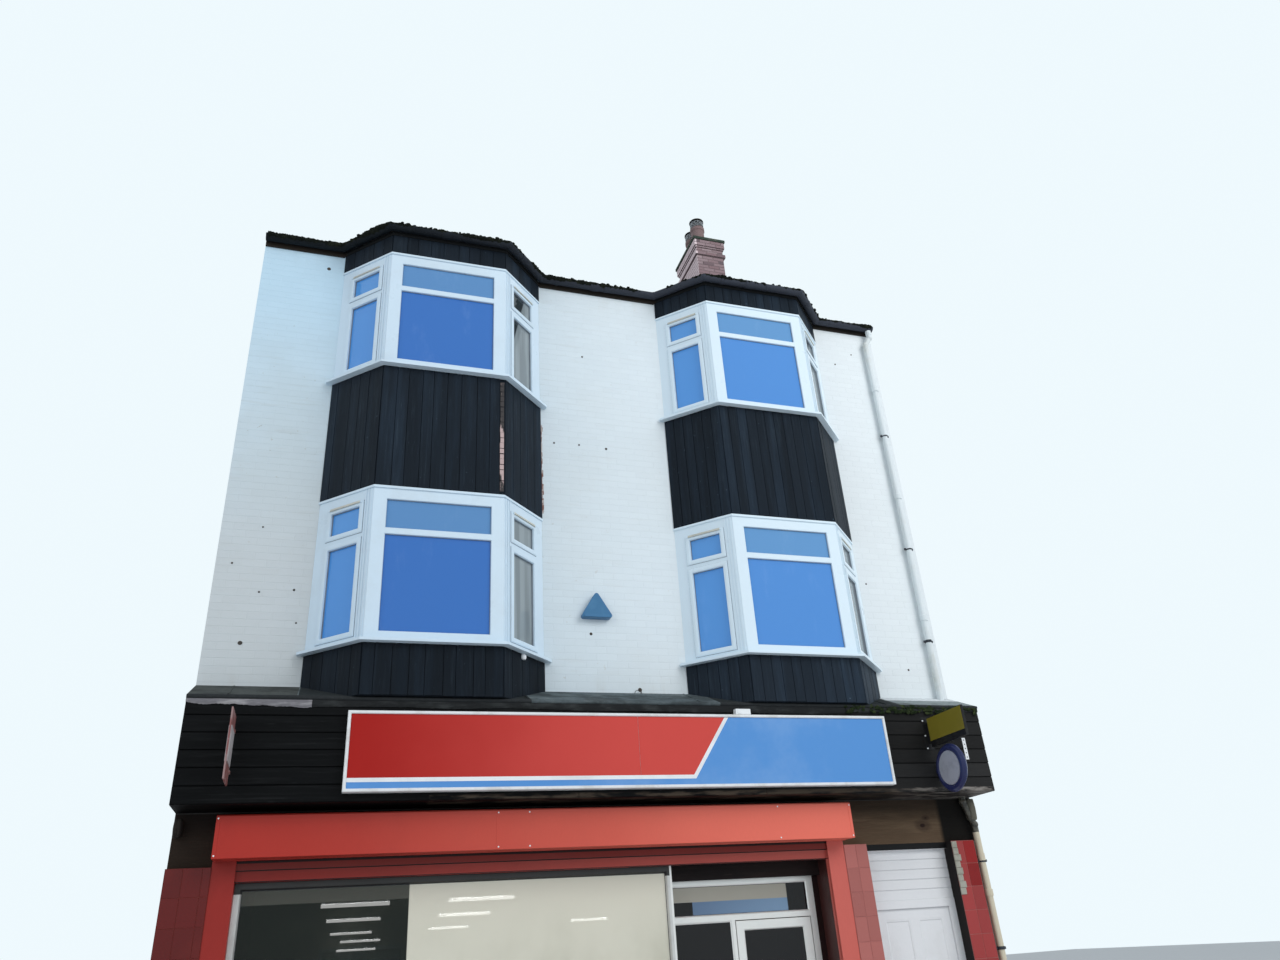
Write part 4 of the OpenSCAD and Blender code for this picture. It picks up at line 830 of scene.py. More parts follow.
class Shape:
    """Closed shells gathered as arrays, to become one mesh."""

    def __init__(self) -> None:
        """Starts with nothing in it."""
        self.points: List[np.ndarray] = []
        self.tones: List[np.ndarray] = []
        self.faces: List[Sequence[int]] = []
        self.count = 0

    def add(self, points: np.ndarray, faces: np.ndarray, tones: Amount = 0.5,
            caps: Sequence[Sequence[int]] = ()) -> None:
        """Adds points and the faces between them.

        Args:
            points: The points, in any number of dimensions before the last.
            faces: Quads as numbers of those points.
            tones: One tone for all, or one for each point.
            caps: Faces with more corners.
        """
        flat = points.reshape(-1, 3)
        self.points.append(flat)
        self.tones.append(np.broadcast_to(np.asarray(tones, float).reshape(-1), len(flat)))
        self.faces += (faces.reshape(-1, 4) + self.count).tolist()
        self.faces += [[k + self.count for k in cap] for cap in caps]
        self.count += len(flat)

    def prisms(self, plane: Plane, ring_u: Amount, ring_v: Amount, low: Amount, high: Amount,
            tip: Optional[Amount] = None, ease: float = 0.0, tone: Amount = 0.5) -> None:
        """Four-sided blocks that stand out of a plane.

        Each block's foot is its four corners at the low depth, and its face is the same
        corners drawn in by the ease, at the high depth at its lower edge and at the tip
        depth at its upper edge.

        Args:
            plane: The plane that they stand on.
            ring_u: Corners across, one row of four for each block, anticlockwise from below left.
            ring_v: Corners up.
            low: Depth of the foot.
            high: Depth of the face, or of its lower edge.
            tip: Depth of the face's upper edge where it differs.
            ease: How far the face's edges are drawn in.
            tone: Each block's tone.
        """
        ring_u, ring_v = np.atleast_2d(ring_u, ring_v)
        n = len(ring_u)
        low, high, tip, tone = (np.broadcast_to(given, n) for given in (low, high, high
            if tip is None else tip, tone))
        foot = plane.at(ring_u, ring_v, low[:, None])
        face = plane.at(ring_u + ease * np.array([1, -1, -1, 1]), ring_v + ease * np.array([1, 1,
            -1, -1]), np.stack([high, high, tip, tip], 1))
        quads = np.array([[4, 5, 6, 7], [3, 2, 1, 0], [0, 1, 5, 4], [1, 2, 6, 5], [2, 3, 7, 6], [3,
            0, 4, 7]])
        self.add(np.concatenate([foot, face], 1), np.arange(n)[:, None, None] * 8 + quads,
            np.repeat(tone, 8))

    def blocks(self, plane: Plane, u0: Amount, u1: Amount, v0: Amount, v1: Amount, low: Amount,
            high: Amount, tip: Optional[Amount] = None, ease: float = 0.0,
            tone: Amount = 0.5) -> None:
        """Upright blocks from u0 to u1 and v0 to v1; the rest is as for prisms."""
        u0, u1, v0, v1, low, high, tone = np.atleast_1d(*np.broadcast_arrays(u0, u1, v0, v1, low,
            high, tone))
        self.prisms(plane, np.stack([u0, u1, u1, u0], 1), np.stack([v0, v0, v1, v1], 1), low, high,
            tip, ease, tone)

    def rings(self, rings: np.ndarray, loop: bool = False) -> None:
        """A skin over rings of points, each ring joined to the next.

        Args:
            rings: Points, shaped (rings, points in a ring, 3).
            loop: Whether the last ring joins the first; else both ends get a flat cap.
        """
        k, m = rings.shape[:2]
        i, j = np.arange(k if loop else k - 1)[:, None], np.arange(m)[None]
        after, beside = (i + 1) % k, (j + 1) % m
        quads = np.stack([i * m + j, after * m + j, after * m + beside, i * m + beside], -1)
        caps = () if loop else (range(m - 1, -1, -1), range((k - 1) * m, k * m))
        self.add(rings, quads, caps=caps)

    def lumps(self, centres: np.ndarray, sizes: np.ndarray, rng: Generator) -> None:
        """Rough lumps, each a small ball of rings pushed in and out by noise.

        A point is the centre plus size x noise x (sin t cos a, sin t sin a, cos t).

        Args:
            centres: One row for each lump.
            sizes: Half sizes along the axes, one row for each.
            rng: Draws the noise.
        """
        t, a = np.linspace(0.35, math.pi - 0.35, 4), np.arange(7) * 2 * math.pi / 7
        unit = np.stack([np.outer(np.sin(t), np.cos(a)), np.outer(np.sin(t), np.sin(a)),
            np.outer(np.cos(t), np.ones(7))], -1)
        for centre, size in zip(centres, sizes):
            self.rings(centre + unit[::-1] * size * rng.uniform(0.75, 1.25, (4, 7, 1)))

    def border(self, plane: Plane, box: Box, profile: Sequence[Span]) -> None:
        """A moulding carried round a rectangle with mitred corners.

        Args:
            plane: The plane of the rectangle.
            box: Its left side, right side, foot and head.
            profile: The closed section as (inset, depth) pairs.
        """
        inset, depth = np.array(profile).T
        u0, u1, v0, v1 = box
        u = np.stack([u0 + inset, u1 - inset, u1 - inset, u0 + inset])
        v = np.stack([v0 + inset, v0 + inset, v1 - inset, v1 - inset])
        self.rings(plane.at(u, v, depth[None]), True)

    def turned(self, centre: Point, axis: str, profile: Sequence[Span], steps: int = 24) -> None:
        """A turned shape: a closed profile of (radius, distance along the axis) carried round.

        Args:
            centre: Where the axis starts.
            axis: The letter of the axis.
            profile: The closed section; points with no radius are merged later.
            steps: Number of facets round the axis.
        """
        radius, along = np.array(profile).T
        angle = np.linspace(0.0, 2 * math.pi, steps, endpoint=False)[:, None]
        wide, deep = np.cos(angle) * radius, np.sin(angle) * radius
        parts = {"z": (wide, deep, along + 0 * angle), "x": (along + 0 * angle, wide, deep),
            "y": (deep, along + 0 * angle, wide)}
        self.rings(np.stack(parts[axis], -1) + np.asarray(centre), True)

    def sheet(self, grid: np.ndarray, thick: Point) -> None:
        """A sheet of points with a second face moved by thick, closed round its rim.

        Args:
            grid: Points, shaped (rows, columns, 3).
            thick: From the first face to the second.
        """
        rows, columns = grid.shape[:2]
        both = np.stack([grid, grid + np.asarray(thick)])
        number = np.arange(rows * columns).reshape(rows, columns)
        cells = np.stack([number[:-1, :-1], number[:-1, 1:], number[1:, 1:], number[1:, :-1]],
            -1).reshape(-1, 4)
        rim = np.concatenate([number[0], number[1:, -1], number[-1, -2::-1], number[-2:0:-1, 0]])
        far = rim + rows * columns
        sides = np.stack([rim, far, np.roll(far, -1), np.roll(rim, -1)], -1)
        self.add(both, np.concatenate([cells, cells[:, ::-1] + rows * columns, sides]))

    def wall(self, plane: Plane, width: float, height: float, holes: Sequence[Box],
            thick: float) -> None:
        """A flat wall with square holes, skinned on every side.

        The wall is a grid of cells between the edges. A cell inside a hole is left out,
        and a side is made only where a cell has no neighbour.

        Args:
            plane: The plane of its outer face, with the origin at its lower left corner.
            width: Its width.
            height: Its height.
            holes: Each hole as (u0, u1, v0, v1).
            thick: Its thickness.
        """
        us, vs = (np.array(sorted({0.0, end, *(e for hole in holes for e in hole[k:k + 2])}))
            for end, k in ((width, 0), (height, 2)))
        mid_u, mid_v = np.meshgrid((us[1:] + us[:-1]) / 2, (vs[1:] + vs[:-1]) / 2, indexing="ij")
        solid = np.ones(mid_u.shape, bool)
        for a, b, c, d in holes:
            solid &= ~((mid_u > a) & (mid_u < b) & (mid_v > c) & (mid_v < d))
        grid_u, grid_v = np.meshgrid(us, vs, indexing="ij")
        number = np.arange(grid_u.size).reshape(grid_u.shape)
        padded = np.pad(solid, 1)
        (a, b, c, d), (e, f, g, h) = ((n[:-1, :-1], n[1:, :-1], n[1:, 1:], n[:-1, 1:]) for n
            in (number, number + grid_u.size))
        bare = [(solid, [e, f, g, h]), (solid, [d, c, b, a]), (solid & ~padded[1:-1, :-2], [a, b,
            f, e]), (solid & ~padded[2:, 1:-1], [b, c, g, f]), (solid & ~padded[1:-1, 2:], [c, d,
            h, g]), (solid & ~padded[:-2, 1:-1], [d, a, e, h])]
        quads = np.concatenate([np.stack(corners, -1)[mask] for mask, corners in bare])
        self.add(np.stack([plane.at(grid_u, grid_v, depth) for depth in (-thick, 0.0)]), quads)

    def make(self, name: str, finish: str, slot: str, body: str = "root", weld: bool = False,
            smooth: bool = False, replaces: Sequence[str] = ()) -> None:
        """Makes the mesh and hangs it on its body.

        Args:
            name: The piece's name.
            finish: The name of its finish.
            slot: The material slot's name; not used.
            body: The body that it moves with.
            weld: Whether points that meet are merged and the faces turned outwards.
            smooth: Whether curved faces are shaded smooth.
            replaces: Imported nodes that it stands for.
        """
        mesh = bpy.data.meshes.new(name)
        mesh.from_pydata(np.concatenate(self.points), [], self.faces)
        tone = mesh.attributes.new("tone", "FLOAT", "POINT")
        tone.data.foreach_set("value", np.concatenate(self.tones).astype(np.float32))
        if weld:
            shell = bmesh.new()
            shell.from_mesh(mesh)
            bmesh.ops.remove_doubles(shell, verts=shell.verts, dist=1e-5)
            bmesh.ops.dissolve_degenerate(shell, edges=shell.edges, dist=1e-6)
            bmesh.ops.recalc_face_normals(shell, faces=shell.faces)
            shell.to_mesh(mesh)
            shell.free()
        if smooth:
            mesh.shade_smooth()
            mesh.set_sharp_from_angle(angle=math.radians(38))
        mesh.materials.append(material_of(finish))
        mesh.update()
        piece = place(mesh)
        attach(piece, body)
        if replaces:
            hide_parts(*replaces)
        log.info("%s: %d faces", name, len(mesh.polygons))


DRESSED = {
    "wall_paint": "front_wall", "mortar": "right_party_wall", "ridge_tiles": "ridge_tiles",
    "roof_verge": "front_roof_slope rear_roof_slope", "roofing_felt": "bay_roofs",
    "concrete": "ground_slab", "first_floor_boards": "first_floor",
    "second_floor_boards": "second_floor", "plaster": "top_ceiling chimney_breast",
    "stack_mortar": "chimney_stack", "chimney_cap": "chimney_cap",
    "chimney_clay": "chimney_pots", "cowl_black": "pot_cowls",
    "black_boards": "left_bay_boarding right_bay_boarding",
    "white_frames": "left_bay_lower_window left_bay_upper_window right_bay_lower_window "
                    "right_bay_upper_window rear_window_frames bay_sills",
    "upper_bay_glass": "left_bay_glass right_bay_glass", "eaves_board": "eaves_board",
    "black_gutter": "front_gutter rear_rainwater", "white_pipe": "front_downpipe",
    "fascia_boards": "fascia_boards", "lead": "fascia_flashing", "old_beam": "shopfront_beam",
    "dark_head": "shopfront_head", "sign_frame": "sign_panel", "sign_black": "box_sign",
    "drum_blue": "round_sign", "faded_board": "projecting_board", "alarm_blue": "alarm_box",
    "shutter_red": "shutter_box", "guide_red": "shutter_guides",
    "tile_grout": "left_pilaster middle_pilaster right_pilaster stall_riser",
    "silver_frames": "shop_window_frame entrance_frame shop_door_leaf",
    "shop_glass": "shop_window_glass", "entrance_glass": "entrance_glass shop_door_glass",
    "rear_glass": "rear_window_glass", "satin_steel": "shop_door_handle side_door_handle",
    "white_woodwork": "side_door_leaf side_door_frame side_door_boards rear_door"}
ROUNDED = {"sign_panel": 0.003, "box_sign": 0.003, "shutter_box": 0.003, "alarm_box": 0.006,
    "shutter_guides": 0.002, "rear_window_frames": 0.002, "bay_sills": 0.002,
    "side_door_leaf": 0.002, "side_door_frame": 0.002, "side_door_boards": 0.002,
    "rear_door": 0.002, "shop_window_frame": 0.0015, "entrance_frame": 0.0015,
    "shop_door_leaf": 0.0015}


def dress() -> None:
    """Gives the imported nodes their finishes, and some of them edges rounded by a width."""
    for finish, nodes in DRESSED.items():
        for name in nodes.split():
            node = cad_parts[name]
            node.data.materials.clear()
            node.data.materials.append(material_of(finish))
            if name in ROUNDED:
                node.modifiers.new("weld", "WELD").merge_threshold = 1e-5
                rounding = node.modifiers.new("rounding", "BEVEL")
                rounding.width, rounding.segments = ROUNDED[name], 2
                rounding.limit_method, rounding.angle_limit = "ANGLE", math.radians(50)
                rounding.harden_normals = False
            log.info("%s: %s", name, finish)


# House sizes, in metres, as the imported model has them

HALF, FRONT, REAR = 3.93, -4.7, 4.7
WALL_T = 0.225
BEAM_Z, FASCIA_Z, FASCIA_TOP, FACE_Y = 2.72, 3.16, 4.02, -5.15
PITCH = math.radians(35)
GUTTER_Z, PLATE_Z, RIDGE_Z = 9.4, 9.42, 9.42 + 4.7 * math.tan(PITCH)
ROOF_T, EAVES_Y = 0.07, REAR + 0.055
BAY_X = (-1.91, 1.9)
BAY_W, BAY_D, BAY_FRONT = 2.28, 0.5, 1.28
SILLS, HEADS = (4.56, 7.57), (6.13, 9.08)
APRON_Z, BAY_TOP = 4.05, 9.375
STACK = (3.37, 3.93, -0.665, 0.295)
STACK_TOP = 14.56
COURSE = 0.075
LEFT, RIGHT, BACK = (-1.0, 0.0, 0.0), (0.0, 1.0, 0.0), (0.0, -1.0, 0.0)

FRONT_FACE = Plane((-HALF, FRONT, 0.0))
REAR_FACE = Plane((HALF, REAR, 0.0), LEFT)
RIGHT_FACE = Plane((HALF, FRONT, 0.0), RIGHT)


def less(spans: List[Span], *gaps: Span) -> List[Span]:
    """Takes gaps out of spans and gives what is left, in order, each as (from, to)."""
    for low, high in gaps:
        spans = [part for a, b in spans for part in ((a, min(b, low)), (max(a, high), b))
            if part[1] - part[0] > 0.012]
    return spans


@dataclass(frozen=True)
class Coursing:
    """Blocks laid in courses, each course half a block along from the last."""

    course: float = COURSE
    pitch: float = 0.225
    joint: float = 0.01
    proud: float = 0.005
    ease: float = 0.0025
    tail: Optional[float] = None
    wander: float = 0.0
    headers: int = 0

    def lay(self, shape: Shape, plane: Plane, v_from: float, v_to: float, spans: Spans,
            rng: Generator) -> None:
        """Lays the blocks.

        Course k runs from k courses up by one course less a joint. In it the blocks start
        at whole pitches, moved by half a pitch in every other course, and are cut to the spans.

        Args:
            shape: Takes the blocks.
            plane: The plane that they are laid on.
            v_from: Where the first course may start.
            v_to: Where the last course ends.
            spans: Gives the stretches to fill between two heights.
            rng: Draws tones and small differences.
        """
        for k in range(math.ceil(v_from / self.course - 1e-6), int(v_to / self.course + 1e-6)):
            v0, v1 = k * self.course, (k + 1) * self.course - self.joint
            if self.tail is not None:
                v1 += self.joint
            pitch = self.pitch / 2 if self.headers and k % self.headers == 0 else self.pitch
            for low, high in spans(v0, v1):
                starts = (np.arange(math.floor(low / pitch) - 1, high / pitch + 1) + 0.5
                    * (k % 2)) * pitch
                u0 = np.maximum(starts, low)
                u1 = np.minimum(starts + pitch - self.joint, high)
                kept = u1 - u0 > 0.012
                u0, u1 = u0[kept], u1[kept]
                n = len(u0)
                drop = rng.uniform(-self.wander, self.wander, n)
                rise = self.proud * rng.uniform(0.75, 1.0, n)
                shape.blocks(plane, u0, u1, v0 + drop, v1, -0.002, rise, self.tail, self.ease,
                    rng.uniform(0.0, 1.0, n))


REAR_HOLES = [*((x - 0.55, x + 0.55, z, z + 1.4) for x in (1.9, -1.9) for z in (4.6, 7.57)), (-2.6,
    -1.2, 1.1, 2.3), (1.45, 2.35, 0.0, 2.2)]


@dataclass
class Brickwork:
    """Painted front, brick rear and side walls, with lintels and sills at the rear."""

    front: Coursing = Coursing(joint=0.005, proud=0.0011, ease=0.0014)
    plain: Coursing = Coursing(headers=4)
    recess: float = 0.005
    inner: float = 4.475
    rng: Generator = field(default_factory=lambda: default_rng(11))

    def lay_front(self) -> None:
        """Painted bricks between and beside the bays."""
        bays = [(x + HALF - BAY_W / 2 - 0.002, x + HALF + BAY_W / 2 + 0.002) for x in BAY_X]
        shape = Shape()
        self.front.lay(shape, FRONT_FACE, 4.2, 9.36, lambda low, high: less([(0.0, 2 * HALF)],
            *bays), self.rng)
        shape.make("painted_bricks", "wall_paint", "painted_brick")

    def lay_rear(self) -> None:
        """The rear wall with its holes, and its bricks, arches and sills."""
        holes = [(HALF - b, HALF - a, c, d) for a, b, c, d in REAR_HOLES]
        arches = [(a - 0.11, b + 0.11, d, d + 0.225) for a, b, c, d in holes]
        sills = [(a - 0.06, b + 0.06, c - 0.075, c) for a, b, c, d in holes if c > 0]
        core, shape, stones = Shape(), Shape(), Shape()
        core.wall(REAR_FACE, 2 * HALF - self.recess, PLATE_Z - 0.01, holes, WALL_T)
        core.make("rear_wall_core", "mortar", "red_brick", replaces=["rear_wall"])

        def spans(low: float, high: float) -> List[Span]:
            """The wall's width less the holes, arches and sills at that height."""
            return less([(0.0, 2 * HALF)], *[(a, b) for a, b, c, d in [*holes, *arches, *sills]
                if c < high - 0.001 and d > low + 0.001])

        self.plain.lay(shape, REAR_FACE, 0.0, PLATE_Z - 0.05, spans, self.rng)
        for a, b, c, d in arches:
            starts = np.linspace(a, b, round((b - a) / COURSE), endpoint=False)
            shape.blocks(REAR_FACE, starts + 0.004, starts + (b - a) / len(starts) - 0.004, c
                + 0.004, d - 0.006, -0.002, 0.006, ease=0.002, tone=self.rng.uniform(0.3, 1.0,
                len(starts)))
        shape.make("rear_bricks", "red_brick", "red_brick")
        for a, b, c, d in sills:
            stones.blocks(REAR_FACE, a, b, c + 0.003, d - 0.001, -0.002, 0.045, 0.035, 0.004)
        stones.blocks(REAR_FACE, HALF - 2.4, HALF - 1.4, 0.0, 0.1, 0.0, 0.09, ease=0.008)
        stones.make("rear_sills", "weathered_stone", "concrete")

    def lay_sides(self) -> None:
        """Party walls: the left one set back behind its bricks, the right one as packed."""
        plane = Plane((-HALF + self.recess, REAR, 0.0), BACK)
        eaves = [(FRONT, 0.0), (self.inner, 0.0)]
        roof = [(y, RIDGE_Z - abs(y) * math.tan(PITCH) - 0.001) for y in (self.inner, 0.0,
            -self.inner)]
        outline = np.array([*eaves, *roof, (-self.inner, BEAM_Z), (FRONT, BEAM_Z)])
        core = Shape()
        core.rings(np.stack([plane.at(REAR - outline[:, 0], outline[:, 1], d) for d in (self.recess
            - WALL_T, 0.0)]))
        core.make("left_wall_core", "mortar", "red_brick", weld=True, replaces=["left_party_wall"])

        def spans(low: float, high: float, mirrored: bool) -> List[Span]:
            """From the front or its wall's back face to the rear, under the roof's slopes."""
            reach = max(0.0, (RIDGE_Z - (high + 0.01)) / math.tan(PITCH))
            near = max(FRONT if high < BEAM_Z else -self.inner, -reach)
            far = min(REAR, reach)
            if not mirrored:
                return [(REAR - far, REAR - near)] if far - near > 0.05 else []
            if far - near <= STACK[3] - STACK[2]:
                near, far = STACK[2:] if high < 12.68 else (0.0, 0.0)
            return [(near - FRONT, far - FRONT)] if far - near > 0.05 else []

        for name, side in (("left_bricks", plane), ("right_bricks", RIGHT_FACE)):
            shape = Shape()
            self.plain.lay(shape, side, 0.0, RIDGE_Z, lambda low, high: spans(low, high,
                side is RIGHT_FACE), self.rng)
            shape.make(name, "red_brick", "red_brick")


@dataclass
class Roof:
    """Slates on both slopes, and the lead round the stack."""

    slates: Coursing = Coursing(0.2, 0.25, 0.004, 0.018, 0.001, 0.006, 0.003)

    def build(self) -> None:
        """Covers the slopes, and lays thin stepped plates of lead on the stack's faces."""
        rng = default_rng(23)
        foot_z = RIDGE_Z + ROOF_T - EAVES_Y * math.tan(PITCH)
        for name, across in (("front_slates", 1.0), ("rear_slates", -1.0)):
            plane = Plane((-across * HALF, -across * EAVES_Y, foot_z), (across, 0.0, 0.0), (0.0,
                across * math.cos(PITCH), math.sin(PITCH)))

            def spans(low: float, high: float) -> List[Span]:
                """The slope's width less the stack where the course meets it."""
                y0, y1 = (-across * (EAVES_Y - v * math.cos(PITCH)) for v in (low, high))
                near = min(y0, y1) < STACK[3] + 0.03 and max(y0, y1) > STACK[2] - 0.03
                gap = sorted(across * x + HALF for x in (STACK[0] - 0.03, HALF + 0.1))
                return less([(0.0, 2 * HALF)], *([tuple(gap)] if near else []))

            shape = Shape()
            self.slates.lay(shape, plane, 0.0, EAVES_Y / math.cos(PITCH), spans, rng)
            shape.make(name, "roof_slates", "roof_tile")
        lead = Shape()
        starts = np.arange(0.0, STACK[3] - STACK[2] - 0.01, 0.12)
        top = RIDGE_Z + ROOF_T - np.abs(STACK[3] - starts - 0.06) * math.tan(PITCH)
        lead.blocks(Plane((STACK[0], STACK[3], 0.0), BACK), starts, starts + 0.118, top - 0.1, top
            + 0.13, 0.0, 0.007)
        for x, y, across in ((STACK[0], STACK[2], 1.0), (HALF, STACK[3], -1.0)):
            top = RIDGE_Z + ROOF_T - abs(y) * math.tan(PITCH)
            lead.blocks(Plane((x, y, 0.0), (across, 0.0, 0.0)), -0.005, 0.56, top - 0.12, top
                + 0.12, 0.0, 0.008)
        lead.make("stack_lead", "lead", "lead")


@dataclass
class Chimney:
    """Bricks of the stack with its oversails, the haunching, and the cowls' louvres."""

    cap_t: float = 0.06
    oversail: float = 0.035
    neck_h: float = 0.155
    cowl_z: float = 0.51

    def bands(self) -> List[Point]:
        """Foot, head and reach of the plain shaft, the neck and the oversailing courses."""
        top = STACK_TOP - self.cap_t
        neck = top - 2 * COURSE - self.neck_h
        edges = (12.3, neck - COURSE, neck, top - 2.5 * COURSE, top - 2 * COURSE, top)
        return list(zip(edges, edges[1:], (0.0, self.oversail, 0.0, self.oversail / 2,
            self.oversail)))

    def build(self) -> None:
        """Lays the stack's bricks and sets what stands on its cap."""
        rng = default_rng(31)
        x0, x1, y0, y1 = STACK
        shape, mounds, louvres = Shape(), Shape(), Shape()
        for z0, z1, reach in self.bands():
            coursing = Coursing((z1 - z0) / max(1, round((z1 - z0) / COURSE)), proud=0.006,
                ease=0.003)
            for x, y, across, width, start in ((x0 - reach, y0 - reach, (1.0, 0.0, 0.0), x1 - x0,
                    z0), (x1 + reach, y0 - reach, RIGHT, y1 - y0, 12.68), (x1 + reach, y1 + reach,
                    LEFT, x1 - x0, z0), (x0 - reach, y1 + reach, BACK, y1 - y0, z0)):
                coursing.lay(shape, Plane((x, y, z0), across), max(0.0, start - z0), z1 - z0
                    + 0.001, lambda low, high: [(0.0, width + 2 * reach)], rng)
        shape.make("stack_bricks", "stack_brick", "red_brick")
        for s in (-1, 1):
            x, y = 3.58 + s * 0.02, -0.205 + s * 0.192
            mounds.turned((x, y, STACK_TOP), "z", [(0.12, -0.03), (0.24, -0.03), (0.235, 0.005),
                (0.2, 0.03), (0.15, 0.055), (0.12, 0.06)], 28)
            for k in range(4):
                louvres.turned((x, y, STACK_TOP + self.cowl_z + 0.036 * k), "z", [(0.112, 0.0),
                    (0.136, -0.014), (0.137, -0.01), (0.113, 0.004)], 28)
        mounds.make("pot_haunching", "chimney_cap", "cap_stone", weld=True, smooth=True)
        louvres.make("cowl_louvres", "cowl_louvres", "black_metal", weld=True, smooth=True)


class Side(Enum):
    """The three faces of a canted bay, from left to right."""

    LEFT = -1
    FRONT = 0
    RIGHT = 1


@dataclass
class Bay:
    """One canted bay: its boards, glazing beads, seals and vents."""

    name: str
    x: float
    board: float
    spread: float
    seed: int
    post: float = 0.125
    frame_to: float = 0.5901
    sash_w: float = 0.05
    bead_w: float = 0.0045

    def face(self, side: Side) -> Tuple[Plane, float]:
        """A face's plane, with u from its left end, and its width."""
        root = math.sqrt(0.5)
        if side is Side.LEFT:
            return Plane((self.x - BAY_W / 2, FRONT, 0.0), (root, -root, 0.0)), BAY_D / root
        if side is Side.FRONT:
            return Plane((self.x - BAY_FRONT / 2, FRONT - BAY_D, 0.0)), BAY_FRONT
        return Plane((self.x + BAY_FRONT / 2, FRONT - BAY_D, 0.0), (root, root, 0.0)), BAY_D / root

    def boarding(self) -> None:
        """Upright boards of the apron, the spandrel and the head on each face.

        Board widths are the usual width times one plus or minus the spread, scaled so that
        they fill the face, less the bare strip at one right end.
        """
        rng = default_rng(self.seed)
        zones = [(APRON_Z, SILLS[0] - 0.029), (HEADS[0] + 0.001, SILLS[1] - 0.029), (HEADS[1]
            + 0.001, BAY_TOP - 0.05)]
        shape = Shape()
        for side in Side:
            for k, (z0, z1) in enumerate(zones):
                plane, width = self.face(side)
                if self.name == "left" and side is Side.FRONT and k == 1:
                    width -= 0.055
                count = round(width / self.board)
                widths = self.board * rng.uniform(1 - self.spread, 1 + self.spread, count)
                edges = np.concatenate([[0.0], np.cumsum(widths)]) * width / widths.sum()
                feet = z0 + rng.uniform(0.0, 0.006, count)
                shape.blocks(plane, edges[:-1] + 0.001, edges[1:] - 0.001, feet, z1, -0.002,
                    rng.uniform(0.01, 0.0125, count), ease=0.0018, tone=rng.uniform(0.0, 1.0,
                    count))
        shape.make(f"{self.name}_bay_boards", "black_boards", "black_boards")

    def lights(self, side: Side) -> List[Box]:
        """Openings of one face as (u0, u1, z0, z1): panes in front, sashes in the cants."""
        found = []
        for sill, head in zip(SILLS, HEADS):
            open_z0, open_z1 = sill + 0.084, head - 0.137
            bar_z1 = open_z1 - 0.312
            bar_z0 = bar_z1 - 0.06
            if side is Side.FRONT:
                u0, u1 = self.post, BAY_FRONT - self.post
                found += [(u0, u1, open_z0, bar_z0), (u0, u1, bar_z1, open_z1)]
                continue
            u0, u1 = self.post, self.frame_to
            if side is Side.RIGHT:
                width = BAY_D / math.sqrt(0.5)
                u0, u1 = width - u1, width - u0
            found += [(u0, u1, open_z0 - 0.035, bar_z0 - 0.019), (u0, u1, bar_z1 - 0.031, open_z1
                + 0.002)]
        return found

    def glazing(self) -> None:
        """Beads, seals and the shadow gap round each sash."""
        beads, seals, gaps, vents = Shape(), Shape(), Shape(), Shape()
        w, near = self.bead_w, self.bead_w - 0.0005
        for side in Side:
            plane, lift = self.face(side)[0], 0.0 if side is Side.FRONT else 0.008
            for k, box in enumerate(self.lights(side)):
                if lift:
                    gaps.border(plane, inset(box, -0.003), [(0.0, 0.0), (0.0, 0.0025), (0.004,
                        0.0025), (0.004, 0.0)])
                    beads.border(plane, box, [(0.004, 0.007), (0.008, 0.011), (0.03, 0.0125),
                        (0.046, 0.0105), (0.048, 0.007)])
                    box = inset(box, self.sash_w)
                beads.border(plane, box, [(0.0, lift - 0.024), (0.0, lift - 0.004), (0.002, lift
                    - 0.003), (w, lift - 0.012), (w, lift - 0.024)])
                seals.border(plane, inset(box, near), [(0.0, -0.0235), (0.0, lift - 0.0145),
                    (0.001, lift - 0.0145), (0.0025, -0.0205), (0.0025, -0.0235)])
                if lift and k % 2:
                    vents.blocks(plane, box[0] - 0.012, box[1] + 0.012, box[3] + 0.026, box[3]
                        + 0.055, 0.006, 0.026, 0.018, 0.003)
        beads.make(f"{self.name}_bay_beads", "white_frames", "white_upvc", weld=True)
        seals.make(f"{self.name}_bay_seals", "sash_gaps", "black_metal", weld=True)
        gaps.make(f"{self.name}_bay_sash_gaps", "sash_gaps", "white_upvc", weld=True)
        vents.make(f"{self.name}_bay_vents", "cream_vents", "white_upvc")

    def peeling(self) -> None:
        """A ragged bare strip beside the front's right corner, and chips of brick by the bay."""
        plane, width = self.face(Side.FRONT)
        rng = default_rng(5)
        shape, chips = Shape(), Shape()
        edges = np.linspace(HEADS[0] + 0.04, SILLS[1] - 0.06, 22)
        shape.blocks(plane, width - 0.05 + rng.uniform(0.0, 0.006, 21), width - 0.006, edges[:-1],
            edges[1:] - rng.uniform(0.0, 0.01, 21), -0.002, rng.uniform(0.004, 0.008, 21),
            ease=0.001)
        shape.make("peeled_strip", "peeled_paint", "black_boards")
        edges = np.sort(np.append(rng.uniform(6.22, 7.3, 27), (6.2, 7.32)))
        left = self.x + BAY_W / 2 + HALF + 0.003
        chips.blocks(FRONT_FACE, left, left + rng.uniform(0.008, 0.026, 28), edges[:-1], edges[1:]
            - 0.0015, 0.0, rng.uniform(0.003, 0.0045, 28), ease=0.0006)
        chips.make("bare_wall_edge", "bare_wall_edge", "red_brick")


def inset(box: Box, by: float) -> Box:
    """A rectangle drawn in by a distance on all four sides."""
    return box[0] + by, box[1] - by, box[2] + by, box[3] - by


